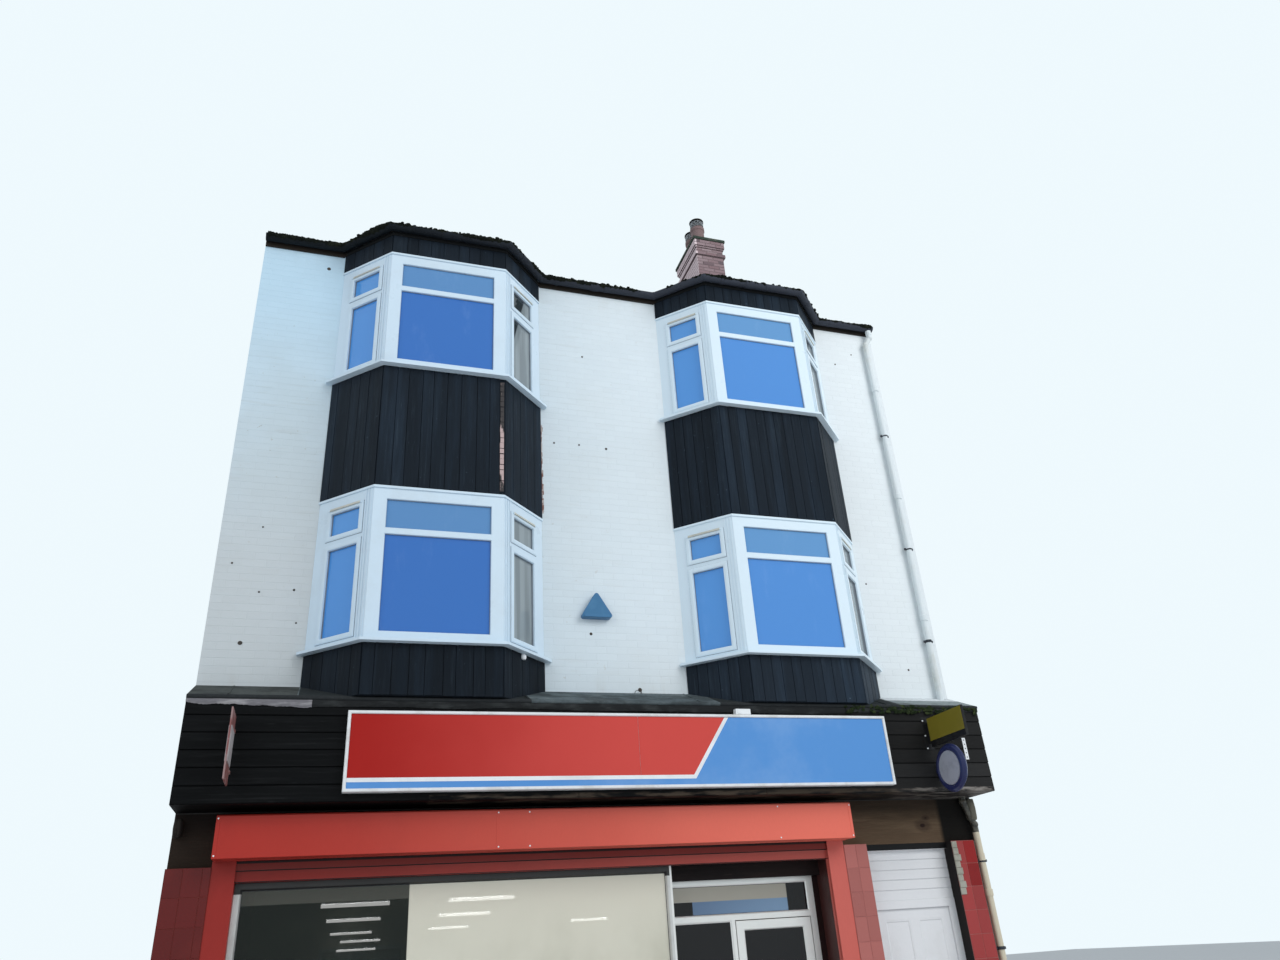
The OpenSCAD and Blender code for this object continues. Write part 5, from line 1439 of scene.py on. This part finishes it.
def gutter_line() -> np.ndarray:
    """Path of the gutter's back edge along the wall and round both bays, in plan."""
    t = 0.02
    wall, half = FRONT - t, BAY_W / 2 + (math.sqrt(2) - 1) * t
    front = BAY_FRONT / 2 + 0.414 * t
    bays = [(x + reach, wall - d) for x in BAY_X for reach, d in ((-half, 0.0), (-front, BAY_D),
        (front, BAY_D), (half, 0.0))]
    return np.array([(-HALF, wall), *bays, (HALF, wall)])


@dataclass
class Rainwater:
    """Moss along the front gutter, its straps and unions, and the pipes' fittings."""

    radius: float = 0.057
    step: float = 0.012
    sides: int = 12
    tufts: int = 420

    def moss(self) -> None:
        """A shaggy roll of moss that fills the gutter.

        The roll's middle follows the gutter, and its radius at distance s and angle a is a
        mean that drifts along s plus noise over s and a.
        """
        rng = default_rng(47)
        line = gutter_line()
        seg = np.diff(line, axis=0)
        length = np.hypot(*seg.T)
        normal = np.stack([seg[:, 1], -seg[:, 0]], 1) / length[:, None]
        s = np.concatenate([[0.0], np.cumsum(length)])
        at = np.arange(0.01, s[-1] - 0.01, self.step)
        k = np.clip(np.searchsorted(s, at, side="right") - 1, 0, len(seg) - 1)
        share = (at - s[k]) / length[k]
        plan = line[k] + seg[k] * share[:, None]
        corners = [s[0], *(s[1:-1, None] + (-0.04, 0.04)).ravel(), s[-1]]
        out = np.stack([np.interp(at, corners, np.repeat(normal[:, c], 2)) for c in (0, 1)], 1)
        out /= np.hypot(*out.T)[:, None]
        coarse = sum(np.interp(at, np.arange(0, s[-1] + gap, gap), rng.uniform(-1, 1, int(s[-1]
            / gap) + 2)) * size for gap, size in ((0.35, 0.006), (0.1, 0.006), (0.035, 0.004)))
        coarse = (0.036 + coarse) * np.interp(at, [0.0, 4.4, 5.2, 9.3, 9.9], [1.05, 1.05, 0.8, 1.0,
            0.6])
        rough = coarse[:, None] * rng.uniform(0.86, 1.14, (len(at), self.sides))
        rough[[0, -1]] = 0.004
        centre = np.column_stack([plan + out * (self.radius + 0.016), np.full(len(at), GUTTER_Z
            - 0.006)])
        out = np.column_stack([out, np.zeros(len(at))])
        up = np.array([0, 0, 1.0])
        angle = np.linspace(0, 2 * math.pi, self.sides, endpoint=False)
        shape = Shape()
        shape.rings(centre[:, None] + out[:, None] * (np.cos(angle) * rough * 1.35)[..., None] + up
            * (np.sin(angle) * rough * 0.8)[..., None])
        picked = rng.integers(4, len(at) - 4, self.tufts)
        swing = rng.uniform(-0.5, 1.0, self.tufts)
        shape.lumps(centre[picked] + out[picked] * (swing * 0.045)[:, None] + up
            * rng.uniform(-0.004, 0.018, (self.tufts, 1)), rng.uniform(0.008, 0.024, (self.tufts,
            1)) * np.array([1.2, 1.2, 0.8]), rng)
        shape.make("gutter_moss", "moss", "black_gutter", weld=True, smooth=True)

    def straps(self) -> None:
        """Half-round straps and unions under the gutters."""
        strap, union = (0.026, 0.0045), (0.11, 0.006)
        shape, line = Shape(), gutter_line()
        for a, b in zip(line[:-1], line[1:]):
            length = float(np.hypot(*(b - a)))
            plane = Plane((*a, GUTTER_Z), (*(b - a) / length, 0.0))
            for u in np.arange(0.22, length - 0.12, 0.62):
                self.band(shape, plane, u, *strap)
            if length > 1.2:
                self.band(shape, plane, length * 0.46, *union)
        rear = Plane((HALF, REAR + 0.0003, GUTTER_Z), LEFT)
        for u in np.arange(0.3, 2 * HALF, 0.8):
            self.band(shape, rear, u, *strap, 1.8)
        for u in (2.0, 4.0, 6.0):
            self.band(shape, rear, u, *union, 1.78)
        shape.make("gutter_straps", "black_gutter", "black_gutter", weld=True)

    def band(self, shape: Shape, plane: Plane, u: float, width: float, thick: float,
            end: float = 1.98) -> None:
        """A band between two radii, centred at u, round to an angle of end half turns."""
        angle = np.linspace(math.pi * 1.02, math.pi * end, 13)[:, None]
        r = self.radius + np.array([0.0004, thick, thick, 0.0004])
        us = u + np.array([-1, -1, 1, 1]) * width / 2
        shape.rings(plane.at(us[None] + 0 * angle, np.sin(angle) * r, self.radius + np.cos(angle)
            * r))

    def pipes(self) -> None:
        """Sockets and screw clips on the front pipe."""
        shape, marks = Shape(), Shape()
        y, upper, lower = FRONT - 0.034 - 0.025, 3.795, 3.88
        for x, z in ((upper, 8.35), (upper, 6.75), (upper, 5.15), (lower, 2.18), (lower, 1.2)):
            shape.turned((x, y, z), "z", [(0.0345, 0.0), (0.0425, 0.0), (0.0425, 0.062), (0.0345,
                0.07)], 28)
        for x, z in ((upper, 7.67), (upper, 6.07), (upper, 4.9), (lower, 2.52), (lower, 1.7)):
            marks.turned((x, y, z - 0.016), "z", [(0.0345, 0.0), (0.0385, 0.0), (0.0385, 0.03),
                (0.0345, 0.03)], 28)
            for s in (-0.048, 0.048):
                marks.blocks(Plane((x, y, z)), s - 0.012, s + 0.012, -0.014, 0.012, -0.012, 0.004,
                    ease=0.002)
        shape.make("pipe_sockets", "white_pipe", "white_pipe", weld=True, smooth=True)
        marks.make("pipe_clips", "black_seals", "black_metal", weld=True)


@dataclass
class WallMarks:
    """Plugs, holes and rust spots in the painted wall, each given by its place and radius."""

    spots: Tuple[Point, ...] = ((-0.613, 7.102, 0.012), (-0.319, 7.108, 0.011), (0.003, 7.091,
        0.015), (-0.239, 8.345, 0.012), (-0.267, 4.857, 0.016), (0.23, 4.279, 0.022), (3.139,
        5.601, 0.011), (3.488, 4.57, 0.012), (-3.225, 9.118, 0.022), (-3.555, 5.82, 0.009),
        (-3.785, 5.426, 0.01), (-3.513, 5.147, 0.01), (-3.204, 5.184, 0.012), (-3.617, 4.644,
        0.021), (-3.153, 4.855, 0.009), (3.295, 8.763, 0.011), (3.577, 8.962, 0.01))

    def build(self) -> None:
        """Low domes with ragged rims, proud of the paint, and a loop of wire."""
        shape = Shape()
        for x, z, r in self.spots:
            shape.turned((x, FRONT, z), "y", [(0.0, 0.0), (r, 0.0), (r * 0.9, -0.005), (r * 0.5,
                -0.007), (0.0, -0.0075)], 9)
        loop = np.linspace(0.0, 2.2 * math.pi, 40)
        wire = np.column_stack([0.2 + 0.035 * np.cos(loop), FRONT - 0.012 - 0.004 * loop, 4.235
            + 0.035 * np.sin(loop)])
        ring = np.linspace(0, 2 * math.pi, 6, endpoint=False)
        radial = np.column_stack([np.cos(loop), 0 * loop, np.sin(loop)])
        shape.rings(wire[:, None] + radial[:, None] * (np.cos(ring) * 0.003)[None, :, None]
            + np.array([0, 1.0, 0]) * (np.sin(ring) * 0.003)[None, :, None])
        shape.make("wall_plugs", "dark_marks", "black_metal", weld=True, smooth=True)


@dataclass
class Fascia:
    """Boards, lead and fittings of the box over the shopfront."""

    seed: int = 61
    boards: int = 6

    def boarding(self) -> None:
        """Level boards on the face, in random lengths."""
        rng = default_rng(self.seed)
        pitch = (FASCIA_TOP - FASCIA_Z) / self.boards
        shape = Shape()
        for k in range(self.boards):
            edges = np.array([0.0, *np.sort(rng.uniform(1.6, 6.3, 2)), 2 * HALF])
            shape.blocks(Plane((-HALF, FACE_Y, FASCIA_Z)), edges[:-1] + 0.001, edges[1:] - 0.001, k
                * pitch + 0.004, (k + 1) * pitch - 0.004, -0.002, 0.008, 0.004, 0.002,
                rng.uniform(0.0, 1.0, 3))
        shape.make("fascia_cladding", "fascia_boards", "black_boards")

    def apron(self, name: str, x0: float, x1: float, drops: Span, ragged: float,
            finish: str) -> None:
        """One length of lead that hangs over the boards' top edge.

        Its foot lies below its head by a drop that runs from the first to the second, plus
        two noises, and its face ripples by a sine over x with noise.

        Args:
            name: The piece's name.
            x0: Left end.
            x1: Right end.
            drops: Drop at each end.
            ragged: Size of the foot's noise.
            finish: What it is finished with.
        """
        rng = default_rng(abs(int(x0 * 100)))
        n = int((x1 - x0) / 0.011)
        x = np.linspace(x0, x1, n)
        fine = rng.uniform(-1, 1, n)
        coarse = np.interp(x, np.linspace(x0, x1, 14), rng.uniform(-1, 1, 14))
        drop = np.interp(x, (x0, x1), drops) + ragged * (coarse + 0.25 * fine)
        v = np.linspace(0.0, 1.0, 6)[None]
        ripple = 0.0015 * np.sin(x * 31.0)[:, None] * v + 0.0006 * fine[:, None] * v
        depth = FACE_Y - 0.0125 - 0.006 * np.sin(v * math.pi) + ripple
        z = FASCIA_TOP - 0.004 - drop[:, None] * v
        shape = Shape()
        shape.sheet(np.stack([x[:, None] + 0 * v, depth, z], -1), (0.0, 0.0025, 0.0))
        shape.make(name, finish, "lead", weld=True, smooth=True)

    def lead(self) -> None:
        """The lead's hanging edge, its upright laps, and moss along its right end."""
        self.apron("torn_lead_edge", -HALF, -2.93, (0.04, 0.078), 0.01, "torn_lead")
        self.apron("dark_lead_edge", -2.925, 2.3, (0.06, 0.072), 0.008, "dark_lead")
        self.apron("right_lead_edge", 2.305, HALF, (0.055, 0.04), 0.01, "dark_lead")
        laps, moss = Shape(), Shape()
        slope = math.atan2(0.203, 0.468)
        top = Plane((-HALF, FACE_Y - 0.018, FASCIA_TOP + 0.022), up=(0.0, math.cos(slope),
            math.sin(slope)))
        spots = np.array([0.31, 2.9, 4.62, 6.74])
        laps.blocks(top, spots, spots + 0.014, 0.03, 0.5, -0.002, 0.006, ease=0.002)
        laps.make("lead_laps", "lead", "lead")
        rng = default_rng(self.seed + 2)
        n = 240
        x = 2.3 + (HALF - 2.33) * rng.uniform(0.0, 1.0, n) ** 0.8
        hang = rng.uniform(0.0, 1.0, n) ** 2
        spots = np.stack([x, FACE_Y - 0.017 - 0.008 * hang, FASCIA_TOP + 0.012 - 0.075 * hang], -1)
        moss.lumps(spots, rng.uniform(0.006, 0.02, (n, 1)) * np.array([1.6, 0.7, 0.9]), rng)
        moss.make("fascia_moss", "edge_moss", "lead", smooth=True)

    def pads(self) -> None:
        """Weathered stone pads under the box's ends."""
        shape = Shape()
        rng = default_rng(self.seed + 3)
        turn = np.linspace(0, 2 * math.pi, 22, endpoint=False)
        square = 1.0 / np.maximum(np.abs(np.cos(turn)), np.abs(np.sin(turn))) ** 0.8
        steps = np.linspace(0.0, 1.0, 12)[:, None]
        for x0, x1, z0, z1 in ((-HALF + 0.003, -3.85, 2.955, 3.11), (3.822, HALF - 0.004, 2.91,
                3.148)):
            swell = (1.0 - (2.0 * steps - 1.0) ** 6) * rng.uniform(0.88, 1.0, (12, 22))
            swell[[0, -1]] *= 0.3
            depth = FRONT - 0.05 + 0.058 * np.cos(turn) * square * swell
            height = (z0 + z1) / 2 + (z1 - z0) / 2 * np.sin(turn) * square * swell
            shape.rings(np.stack([x0 + (x1 - x0) * steps + 0 * depth, depth, np.clip(height, z0,
                z1)], -1))
        shape.make("stone_pads", "mossy_stone", "concrete", weld=True, smooth=True)


@dataclass
class SignPanel:
    """The long sign: its frame, red field, stripes, blue end and the small box on top."""

    x0: float = -2.625
    z0: float = 3.226
    width: float = 5.33
    height: float = 0.684
    y: float = -5.23
    edge: float = 0.0285
    seam: float = 2.637
    slant: Span = (3.163, 3.531)
    line: float = 0.042

    def lean(self, z: float) -> float:
        """Place of the slanted line's left side at a height above the sign's foot."""
        low, high = self.edge + 0.087, self.height - self.edge
        return self.slant[0] + (self.slant[1] - self.slant[0]) * (z - low) / (high - low)

    def build(self) -> None:
        """Coloured sheets on the sign's recessed face, parted by thin white lines."""
        face = Plane((self.x0, self.y + 0.012, self.z0))
        left, right, foot, head = inset((0.0, self.width, 0.0, self.height), self.edge)
        stripe, field_z = foot + 0.052, foot + 0.087
        past = self.line + 0.01
        red, blue, white, trim, box = (Shape() for _ in range(5))
        # Each row: sheet, foot, head, left end low and high, right end low and high, depth
        for shape, low, high, a, b, c, d, depth in (
                (red, field_z, head, left, left, self.seam - 0.0015, self.seam - 0.0015, 0.0035),
                (red, field_z, head, self.seam + 0.0015, self.seam + 0.0015, self.lean(field_z),
                 self.lean(head), 0.0035),
                (white, field_z, head, self.lean(field_z), self.lean(head),
                 self.lean(field_z) + self.line, self.lean(head) + self.line, 0.0042),
                (white, stripe, field_z, left, left, self.lean(stripe) + self.line,
                 self.lean(field_z) + self.line, 0.0042),
                (blue, foot, stripe, left, left, self.lean(foot) + past,
                 self.lean(stripe) + past, 0.0033),
                (blue, foot, head, self.lean(foot) + self.line, self.lean(head) + self.line,
                 right, right, 0.0035)):
            shape.prisms(face, [a, c, d, b], [low, low, high, high], -0.001, depth)
        trim.border(Plane((self.x0, self.y, self.z0)), (0.0, self.width, 0.0, self.height),
            [(0.003, -0.001), (0.005, 0.004), (0.022, 0.004), (0.0275, -0.004), (0.0275, -0.011),
            (0.004, -0.011)])
        lamp = Plane((1.035, self.y + 0.01, 3.9105))
        box.blocks(lamp, 0.0, 0.165, 0.0, 0.062, -0.1, 0.0, ease=0.004)
        box.blocks(lamp, 0.02, 0.06, 0.012, 0.05, -0.001, 0.006, ease=0.002)
        red.make("sign_red_field", "sign_red", "sign_red")
        blue.make("sign_blue_field", "sign_blue", "sign_red")
        white.make("sign_white_lines", "sign_white", "sign_red")
        trim.make("sign_trim", "sign_frame", "sign_red", weld=True)
        box.make("sign_lamp_box", "sign_white", "white_pipe")


@dataclass
class HangingSigns:
    """Faces and fixings of the box sign, the round sign, the left board and the alarm."""

    box_x: float = 3.24
    board_x: float = -HALF + 0.405

    def box_sign(self) -> None:
        """Yellow sheets over a black band on both sides, and three bolts."""
        z0, z1 = FASCIA_Z + 0.44, FASCIA_Z + 0.74
        yellow, bolts = Shape(), Shape()
        for plane in (Plane((self.box_x, FACE_Y - 0.04, 0.0), BACK), Plane((self.box_x + 0.03,
                FACE_Y - 0.64, 0.0), RIGHT)):
            yellow.blocks(plane, 0.005, 0.595, z0 + 0.062, z1 - 0.006, -0.001, 0.003, ease=0.001)
        for z in (z0 - 0.005, z0 + 0.125, z0 + 0.28):
            bolts.turned((self.box_x - 0.031, FACE_Y - 0.008, z), "y", [(0.0, 0.0), (0.009, 0.0),
                (0.009, -0.006), (0.006, -0.009), (0.0, -0.0095)], 6)
        yellow.make("box_sign_faces", "sign_yellow", "sign_yellow")
        bolts.make("sign_bolts", "sign_white", "steel", weld=True)

    def round_sign(self) -> None:
        """Pale discs in both recesses of the drum."""
        shape = Shape()
        for x, s in ((self.box_x + 0.012, -1.0), (self.box_x + 0.063, 1.0)):
            shape.turned((x, FACE_Y - 0.247, FASCIA_Z + 0.196), "x", [(0.0, 0.0), (0.168, 0.0),
                (0.166, 0.006 * s), (0.12, 0.009 * s), (0.0, 0.01 * s)], 64)
        shape.make("round_sign_faces", "drum_face", "sign_blue", weld=True, smooth=True)

    def fittings(self) -> None:
        """A pierced white strap on the fascia, the left board's panels and the alarm's lip."""
        strap, holes, panels, knob, lip = (Shape() for _ in range(5))
        strap.blocks(Plane((3.652, FACE_Y - 0.008, 3.48)), 0.0, 0.042, 0.0, 0.225, -0.001, 0.003,
            ease=0.001)
        for z in np.arange(3.505, 3.7, 0.044):
            holes.turned((3.673, FACE_Y - 0.0108, float(z)), "y", [(0.0, 0.0), (0.0065, 0.0),
                (0.0065, -0.0008), (0.0, -0.0008)], 12)
        for x, y, across in ((self.board_x - 0.006, FACE_Y - 0.4 + 0.35, BACK), (self.board_x
                + 0.006, FACE_Y - 0.4, RIGHT)):
            panels.blocks(Plane((x, y, 0.0), across), 0.03, 0.32, FASCIA_Z + 0.27, FASCIA_Z + 0.55,
                -0.001, 0.006, ease=0.001)
        knob.turned((-1.04, -4.99, 4.5), "z", [(0.0, -0.03), (0.022, -0.026), (0.032, -0.008),
            (0.03, 0.012), (0.018, 0.03), (0.0, 0.031)], 20)
        lip.blocks(Plane((-0.365, FRONT - 0.075, 5.016)), 0.012, 0.298, 0.0, 0.042, -0.01, 0.008,
            0.003, 0.004)
        strap.make("white_strap", "sign_white", "white_paint")
        holes.make("strap_holes", "dark_marks", "black_metal", weld=True)
        panels.make("left_board_panels", "grey_board", "board_sign")
        knob.make("sensor_knob", "sign_white", "white_upvc", weld=True, smooth=True)
        lip.make("alarm_lip", "alarm_blue", "alarm_blue")


def bead(foot: float, face: float, slope: float, width: float = 0.014) -> List[Span]:
    """A glazing bead's section: flat on its face, then sloping down to the glass."""
    return [(0.0, foot), (0.0, face), (0.004, face), (width, slope), (width, foot)]


@dataclass
class Shopfront:
    """Shutter box, guides, glazed tiles, frames and both doors."""

    tile_h: float = 0.22
    tile_w: float = 0.146
    joint: float = 0.0035
    bead_w: float = 0.0135

    def shutter(self) -> None:
        """Cover joints and rivets of the shutter box."""
        x0, y, z0, height = -3.581, -5.0, 2.763, 3.1 - 2.763
        strips, rivets, face = Shape(), Shape(), Plane((x0, y, z0))
        joints = (2.29, 2.61)
        for u in (0.0, 5.825):
            strips.blocks(face, u, u + 0.03, 0.0, height - 0.012, -0.001, 0.0025, ease=0.001)
        strips.blocks(face, *joints, 0.0, height - 0.013, -0.001, 0.0018, ease=0.0008)
        for u in (0.015, joints[0] + 0.02, joints[1] - 0.02, 5.05, 5.84):
            for v in (0.022, 0.308):
                rivets.turned((x0 + u, y - 0.001, z0 + v), "y", [(0.0, 0.0), (0.008, 0.0), (0.0065,
                    -0.003), (0.0, -0.0045)], 10)
        strips.make("shutter_joints", "shutter_red", "shutter_red")
        rivets.make("shutter_rivets", "sign_white", "steel", weld=True, smooth=True)

    def tiling(self) -> None:
        """Glazed tiles on the pilasters and the stall riser, and a strip of grey stone."""
        rng = default_rng(83)
        shape, strip = Shape(), Shape()
        top = BEAM_Z - 0.002
        # Each row: left end, depth, direction, width, foot, head and first tile's width
        for x, y, across, width, z0, z1, lead in ((-HALF, -4.8, (1.0, 0.0, 0.0), -3.585 + HALF,
                0.0, top, 0.136), (2.245, -4.8, (1.0, 0.0, 0.0), 2.505 - 2.245, 0.0, top, 0.13),
                (3.515, -4.8, (1.0, 0.0, 0.0), 3.795 - 3.515, 0.0, top, 0.14), (2.505, -4.8, RIGHT,
                0.1, 0.0, top, 0.1), (3.795, -4.8, RIGHT, 0.1, 0.0, top, 0.1), (-3.4, -4.705, (1.0,
                0.0, 0.0), 3.83, 0.1, 0.549, 0.15)):
            v1 = np.arange(z1, z0 + 0.02, -self.tile_h)
            v0 = np.maximum(v1 - self.tile_h + self.joint, z0)
            edges = np.array([0.0, *np.arange(lead, width - 0.02, self.tile_w), width])
            u0, v0 = (part.ravel() for part in np.meshgrid(edges[:-1], v0))
            u1, v1 = (part.ravel() for part in np.meshgrid(edges[1:], v1))
            shape.blocks(Plane((x, y, 0.0), across), u0 + self.joint / 2, u1 - self.joint / 2, v0,
                v1, -0.001, rng.uniform(0.0024, 0.0028, len(u0)), ease=0.001, tone=rng.uniform(0.0,
                1.0, len(u0)))
        shape.make("glazed_tiles", "glazed_tiles", "tile_red")
        edges = np.linspace(2.205, 2.716, 9)
        strip.blocks(Plane((3.515, -4.806, 0.0)), rng.uniform(-0.004, 0.002, 8), rng.uniform(0.056,
            0.08, 8), edges[:-1], edges[1:] - 0.0006, -0.004, rng.uniform(0.003, 0.007, 8),
            ease=0.002)
        strip.make("grey_stone_strip", "grey_strip", "concrete")

    def windows(self) -> None:
        """Beads and seals of the shop window, the entrance and the rear windows."""
        beads, rear_beads, seals = Shape(), Shape(), Shape()
        for y, box, reach in ((-4.655, (-3.355, 0.385, 0.61, 2.555), 0.035), (-4.4775, (0.47, 1.93,
                2.151, 2.43), 0.0225), (-4.4775, (0.47, 1.079, 0.18, 2.106), 0.0225)):
            beads.border(Plane((0.0, y, 0.0)), box, bead(0.006, reach - 0.004, 0.012))
            seals.border(Plane((0.0, y, 0.0)), inset(box, self.bead_w), [(0.0, 0.0055), (0.0,
                0.011), (0.004, 0.007), (0.004, 0.0055)])
        plane = Plane((HALF, 4.57, 0.0), LEFT)
        for a, b, c, d in REAR_HOLES[:-1]:
            u0, u1 = HALF - b, HALF - a
            bar, mid = c + (d - c) * 0.7, (u0 + u1) / 2
            for box in ((u0 + 0.06, u1 - 0.06, bar + 0.05, d - 0.06), (u0 + 0.06, mid - 0.025, c
                    + 0.06, bar), (mid + 0.025, u1 - 0.06, c + 0.06, bar)):
                rear_beads.border(plane, box, bead(0.013, 0.031, 0.018))
                seals.border(plane, inset(box, self.bead_w), [(0.0, 0.0125), (0.0, 0.0165), (0.004,
                    0.0135), (0.004, 0.0125)])
        beads.make("shop_beads", "silver_frames", "aluminium", weld=True)
        rear_beads.make("rear_window_beads", "white_frames", "white_upvc", weld=True)
        seals.make("shop_seals", "black_seals", "black_metal", weld=True)

    def doors(self) -> None:
        """Beads of the shop door and mouldings of the side door."""
        beads, mould = Shape(), Shape()
        beads.border(Plane((0.0, -4.5, 0.0)), (1.197, 1.847, 0.258, 2.023), bead(-0.0165, -0.003,
            -0.012, 0.012))
        beads.make("shop_door_beads", "silver_frames", "aluminium", "shop_door", weld=True)
        panel_h, rail, half = (2.015 - 0.44) / 3, 0.11, (0.874 - 0.1) / 2
        for k in range(3):
            for u in (0.0, half):
                v0 = rail + k * (panel_h + rail)
                mould.border(Plane((2.573, -4.64, 0.108)), (0.1 + u, 0.437 - 0.05 + u, v0, v0
                    + panel_h), [(0.0005, -0.0075), (0.0005, -0.001), (0.008, 0.0), (0.018,
                    -0.005), (0.02, -0.0075)])
        mould.make("side_door_mouldings", "white_woodwork", "white_paint", "side_door", weld=True)

    def lamps(self) -> None:
        """Rows of tube lights under the shop's ceiling, hung on rods."""
        tubes, rods = Shape(), Shape()
        for y, z, xs in ((-3.75, 2.45, (-2.7, -1.52)), (-1.0, 2.45, (-2.6, -1.29)), (2.95, 2.45,
                (-2.47, -0.97, 1.36)), (3.5, 2.35, (-2.3,)), (4.1, 2.24, (-2.33,))):
            for plane in (Plane((x, y, z)) for x in xs):
                tubes.blocks(plane, 0.0, 0.62, -0.012, 0.016, -0.05, 0.05, ease=0.004)
                for u in (0.1, 0.52):
                    rods.blocks(plane, u - 0.003, u + 0.003, 0.0165, 3.52 - z, -0.003, 0.003)
                rods.blocks(plane, 0.0, 0.62, 0.0165, 0.04, -0.045, 0.045, ease=0.002)
        tubes.make("shop_tube_lights", "lamp_diffuser", "white_upvc")
        rods.make("tube_light_rods", "sign_white", "white_upvc")


@dataclass
class Studio:
    """Floor, soft lamps, pale surroundings and the camera."""

    sky: Colour = (0.86, 0.95, 0.99)
    light: Colour = (0.84, 0.93, 1.0)
    ambient: float = 0.55
    reach: float = 60.0

    def world(self) -> None:
        """A pale background for the camera and for gloss, and a plain soft light."""
        world = bpy.data.worlds.new("studio")
        world.use_nodes = True
        tree = world.node_tree
        tree.nodes.clear()
        path = tree.nodes.new("ShaderNodeLightPath")
        blend = tree.nodes.new("ShaderNodeMixShader")
        output = tree.nodes.new("ShaderNodeOutputWorld")
        for k, colour, strength in ((1, self.light, self.ambient), (2, self.sky, 1.0)):
            back = tree.nodes.new("ShaderNodeBackground")
            back.inputs["Color"].default_value = (*colour, 1.0)
            back.inputs["Strength"].default_value = strength
            tree.links.new(back.outputs[0], blend.inputs[k])
        seen = path.outputs["Is Camera Ray"]
        for other in ("Is Glossy Ray", "Is Transmission Ray"):
            either = tree.nodes.new("ShaderNodeMath")
            either.operation, either.use_clamp = "ADD", True
            tree.links.new(seen, either.inputs[0])
            tree.links.new(path.outputs[other], either.inputs[1])
            seen = either.outputs[0]
        tree.links.new(seen, blend.inputs[0])
        tree.links.new(blend.outputs[0], output.inputs[0])
        bpy.context.scene.world = world

    def floor(self) -> None:
        """A large pale floor that takes the shadow."""
        mesh = bpy.data.meshes.new("studio_floor")
        corners = [(sx * self.reach, sy * self.reach, 0.0) for sx, sy in ((-1, -1), (1, -1), (1,
            1), (-1, 1))]
        mesh.from_pydata(corners, [], [(0, 1, 2, 3)])
        tree = Tree("studio_floor")
        tint = tree.mix(tree.noise(0.4, 2.0) * 0.1, (0.74, 0.75, 0.76), (0.68, 0.69, 0.7))
        mesh.materials.append(tree.shade(base_color=tint, roughness=0.9))
        place(mesh)

    def lamp(self, name: str, spot: Point, watts: float) -> None:
        """A square soft lamp that looks at the middle of the house."""
        data = bpy.data.lights.new(name, "AREA")
        data.shape, data.size, data.energy = "SQUARE", 12.0, watts
        lamp = place(data)
        back = np.array(spot) - np.array((0.0, 0.0, 6.0))
        back /= np.linalg.norm(back)
        right = np.cross((0.0, 0.0, 1.0), back)
        right /= np.linalg.norm(right)
        turn = Matrix(np.column_stack([right, np.cross(back, right), back]).tolist()).to_4x4()
        lamp.matrix_world = Matrix.Translation(spot) @ turn
        lamp.visible_glossy = False

    def camera(self) -> None:
        """A low camera near the pavement that looks up at the front."""
        data = bpy.data.cameras.new("street_camera")
        data.sensor_width, data.lens, data.clip_end = 36.0, 25.936, 300.0
        camera = place(data)
        turn = Matrix(((0.95033, -0.0864, -0.299), (-0.30473, -0.45375, -0.83741), (-0.06328,
            0.88693, -0.45755))).to_4x4()
        camera.matrix_world = Matrix.Translation((-2.786, -13.603, 1.86)) @ turn
        bpy.context.scene.camera = camera

    def build(self) -> None:
        """Sets up everything round the house."""
        self.world()
        self.floor()
        for name, place, watts in (("key", (12.0, -20.0, 16.0), 2500.0), ("fill", (-16.0, -16.0,
                12.0), 900.0), ("back", (6.0, 22.0, 18.0), 1800.0)):
            self.lamp(name, place, watts)
        bpy.context.scene.view_settings.view_transform = "Standard"
        self.camera()


def main() -> None:
    """Builds the surroundings and then each part of the house in order."""
    logging.basicConfig(level=logging.INFO, format="%(message)s")
    left = Bay("left", BAY_X[0], 0.14, 0.28, 3)
    right = Bay("right", BAY_X[1], 0.115, 0.08, 4)
    walls, rain, fascia, signs, shop = (Brickwork(), Rainwater(), Fascia(), HangingSigns(),
        Shopfront())
    for step in (Studio().build, walls.lay_front, walls.lay_rear, walls.lay_sides, Roof().build,
            Chimney().build, left.boarding, left.glazing, right.boarding, right.glazing,
            left.peeling, rain.moss, rain.straps, rain.pipes, WallMarks().build, fascia.boarding,
            fascia.lead, fascia.pads, SignPanel().build, signs.box_sign, signs.round_sign,
            signs.fittings, shop.shutter, shop.tiling, shop.windows, shop.doors, shop.lamps,
            dress):
        log.info("building %s", step.__qualname__)
        step()


if __name__ == "__main__":
    main()
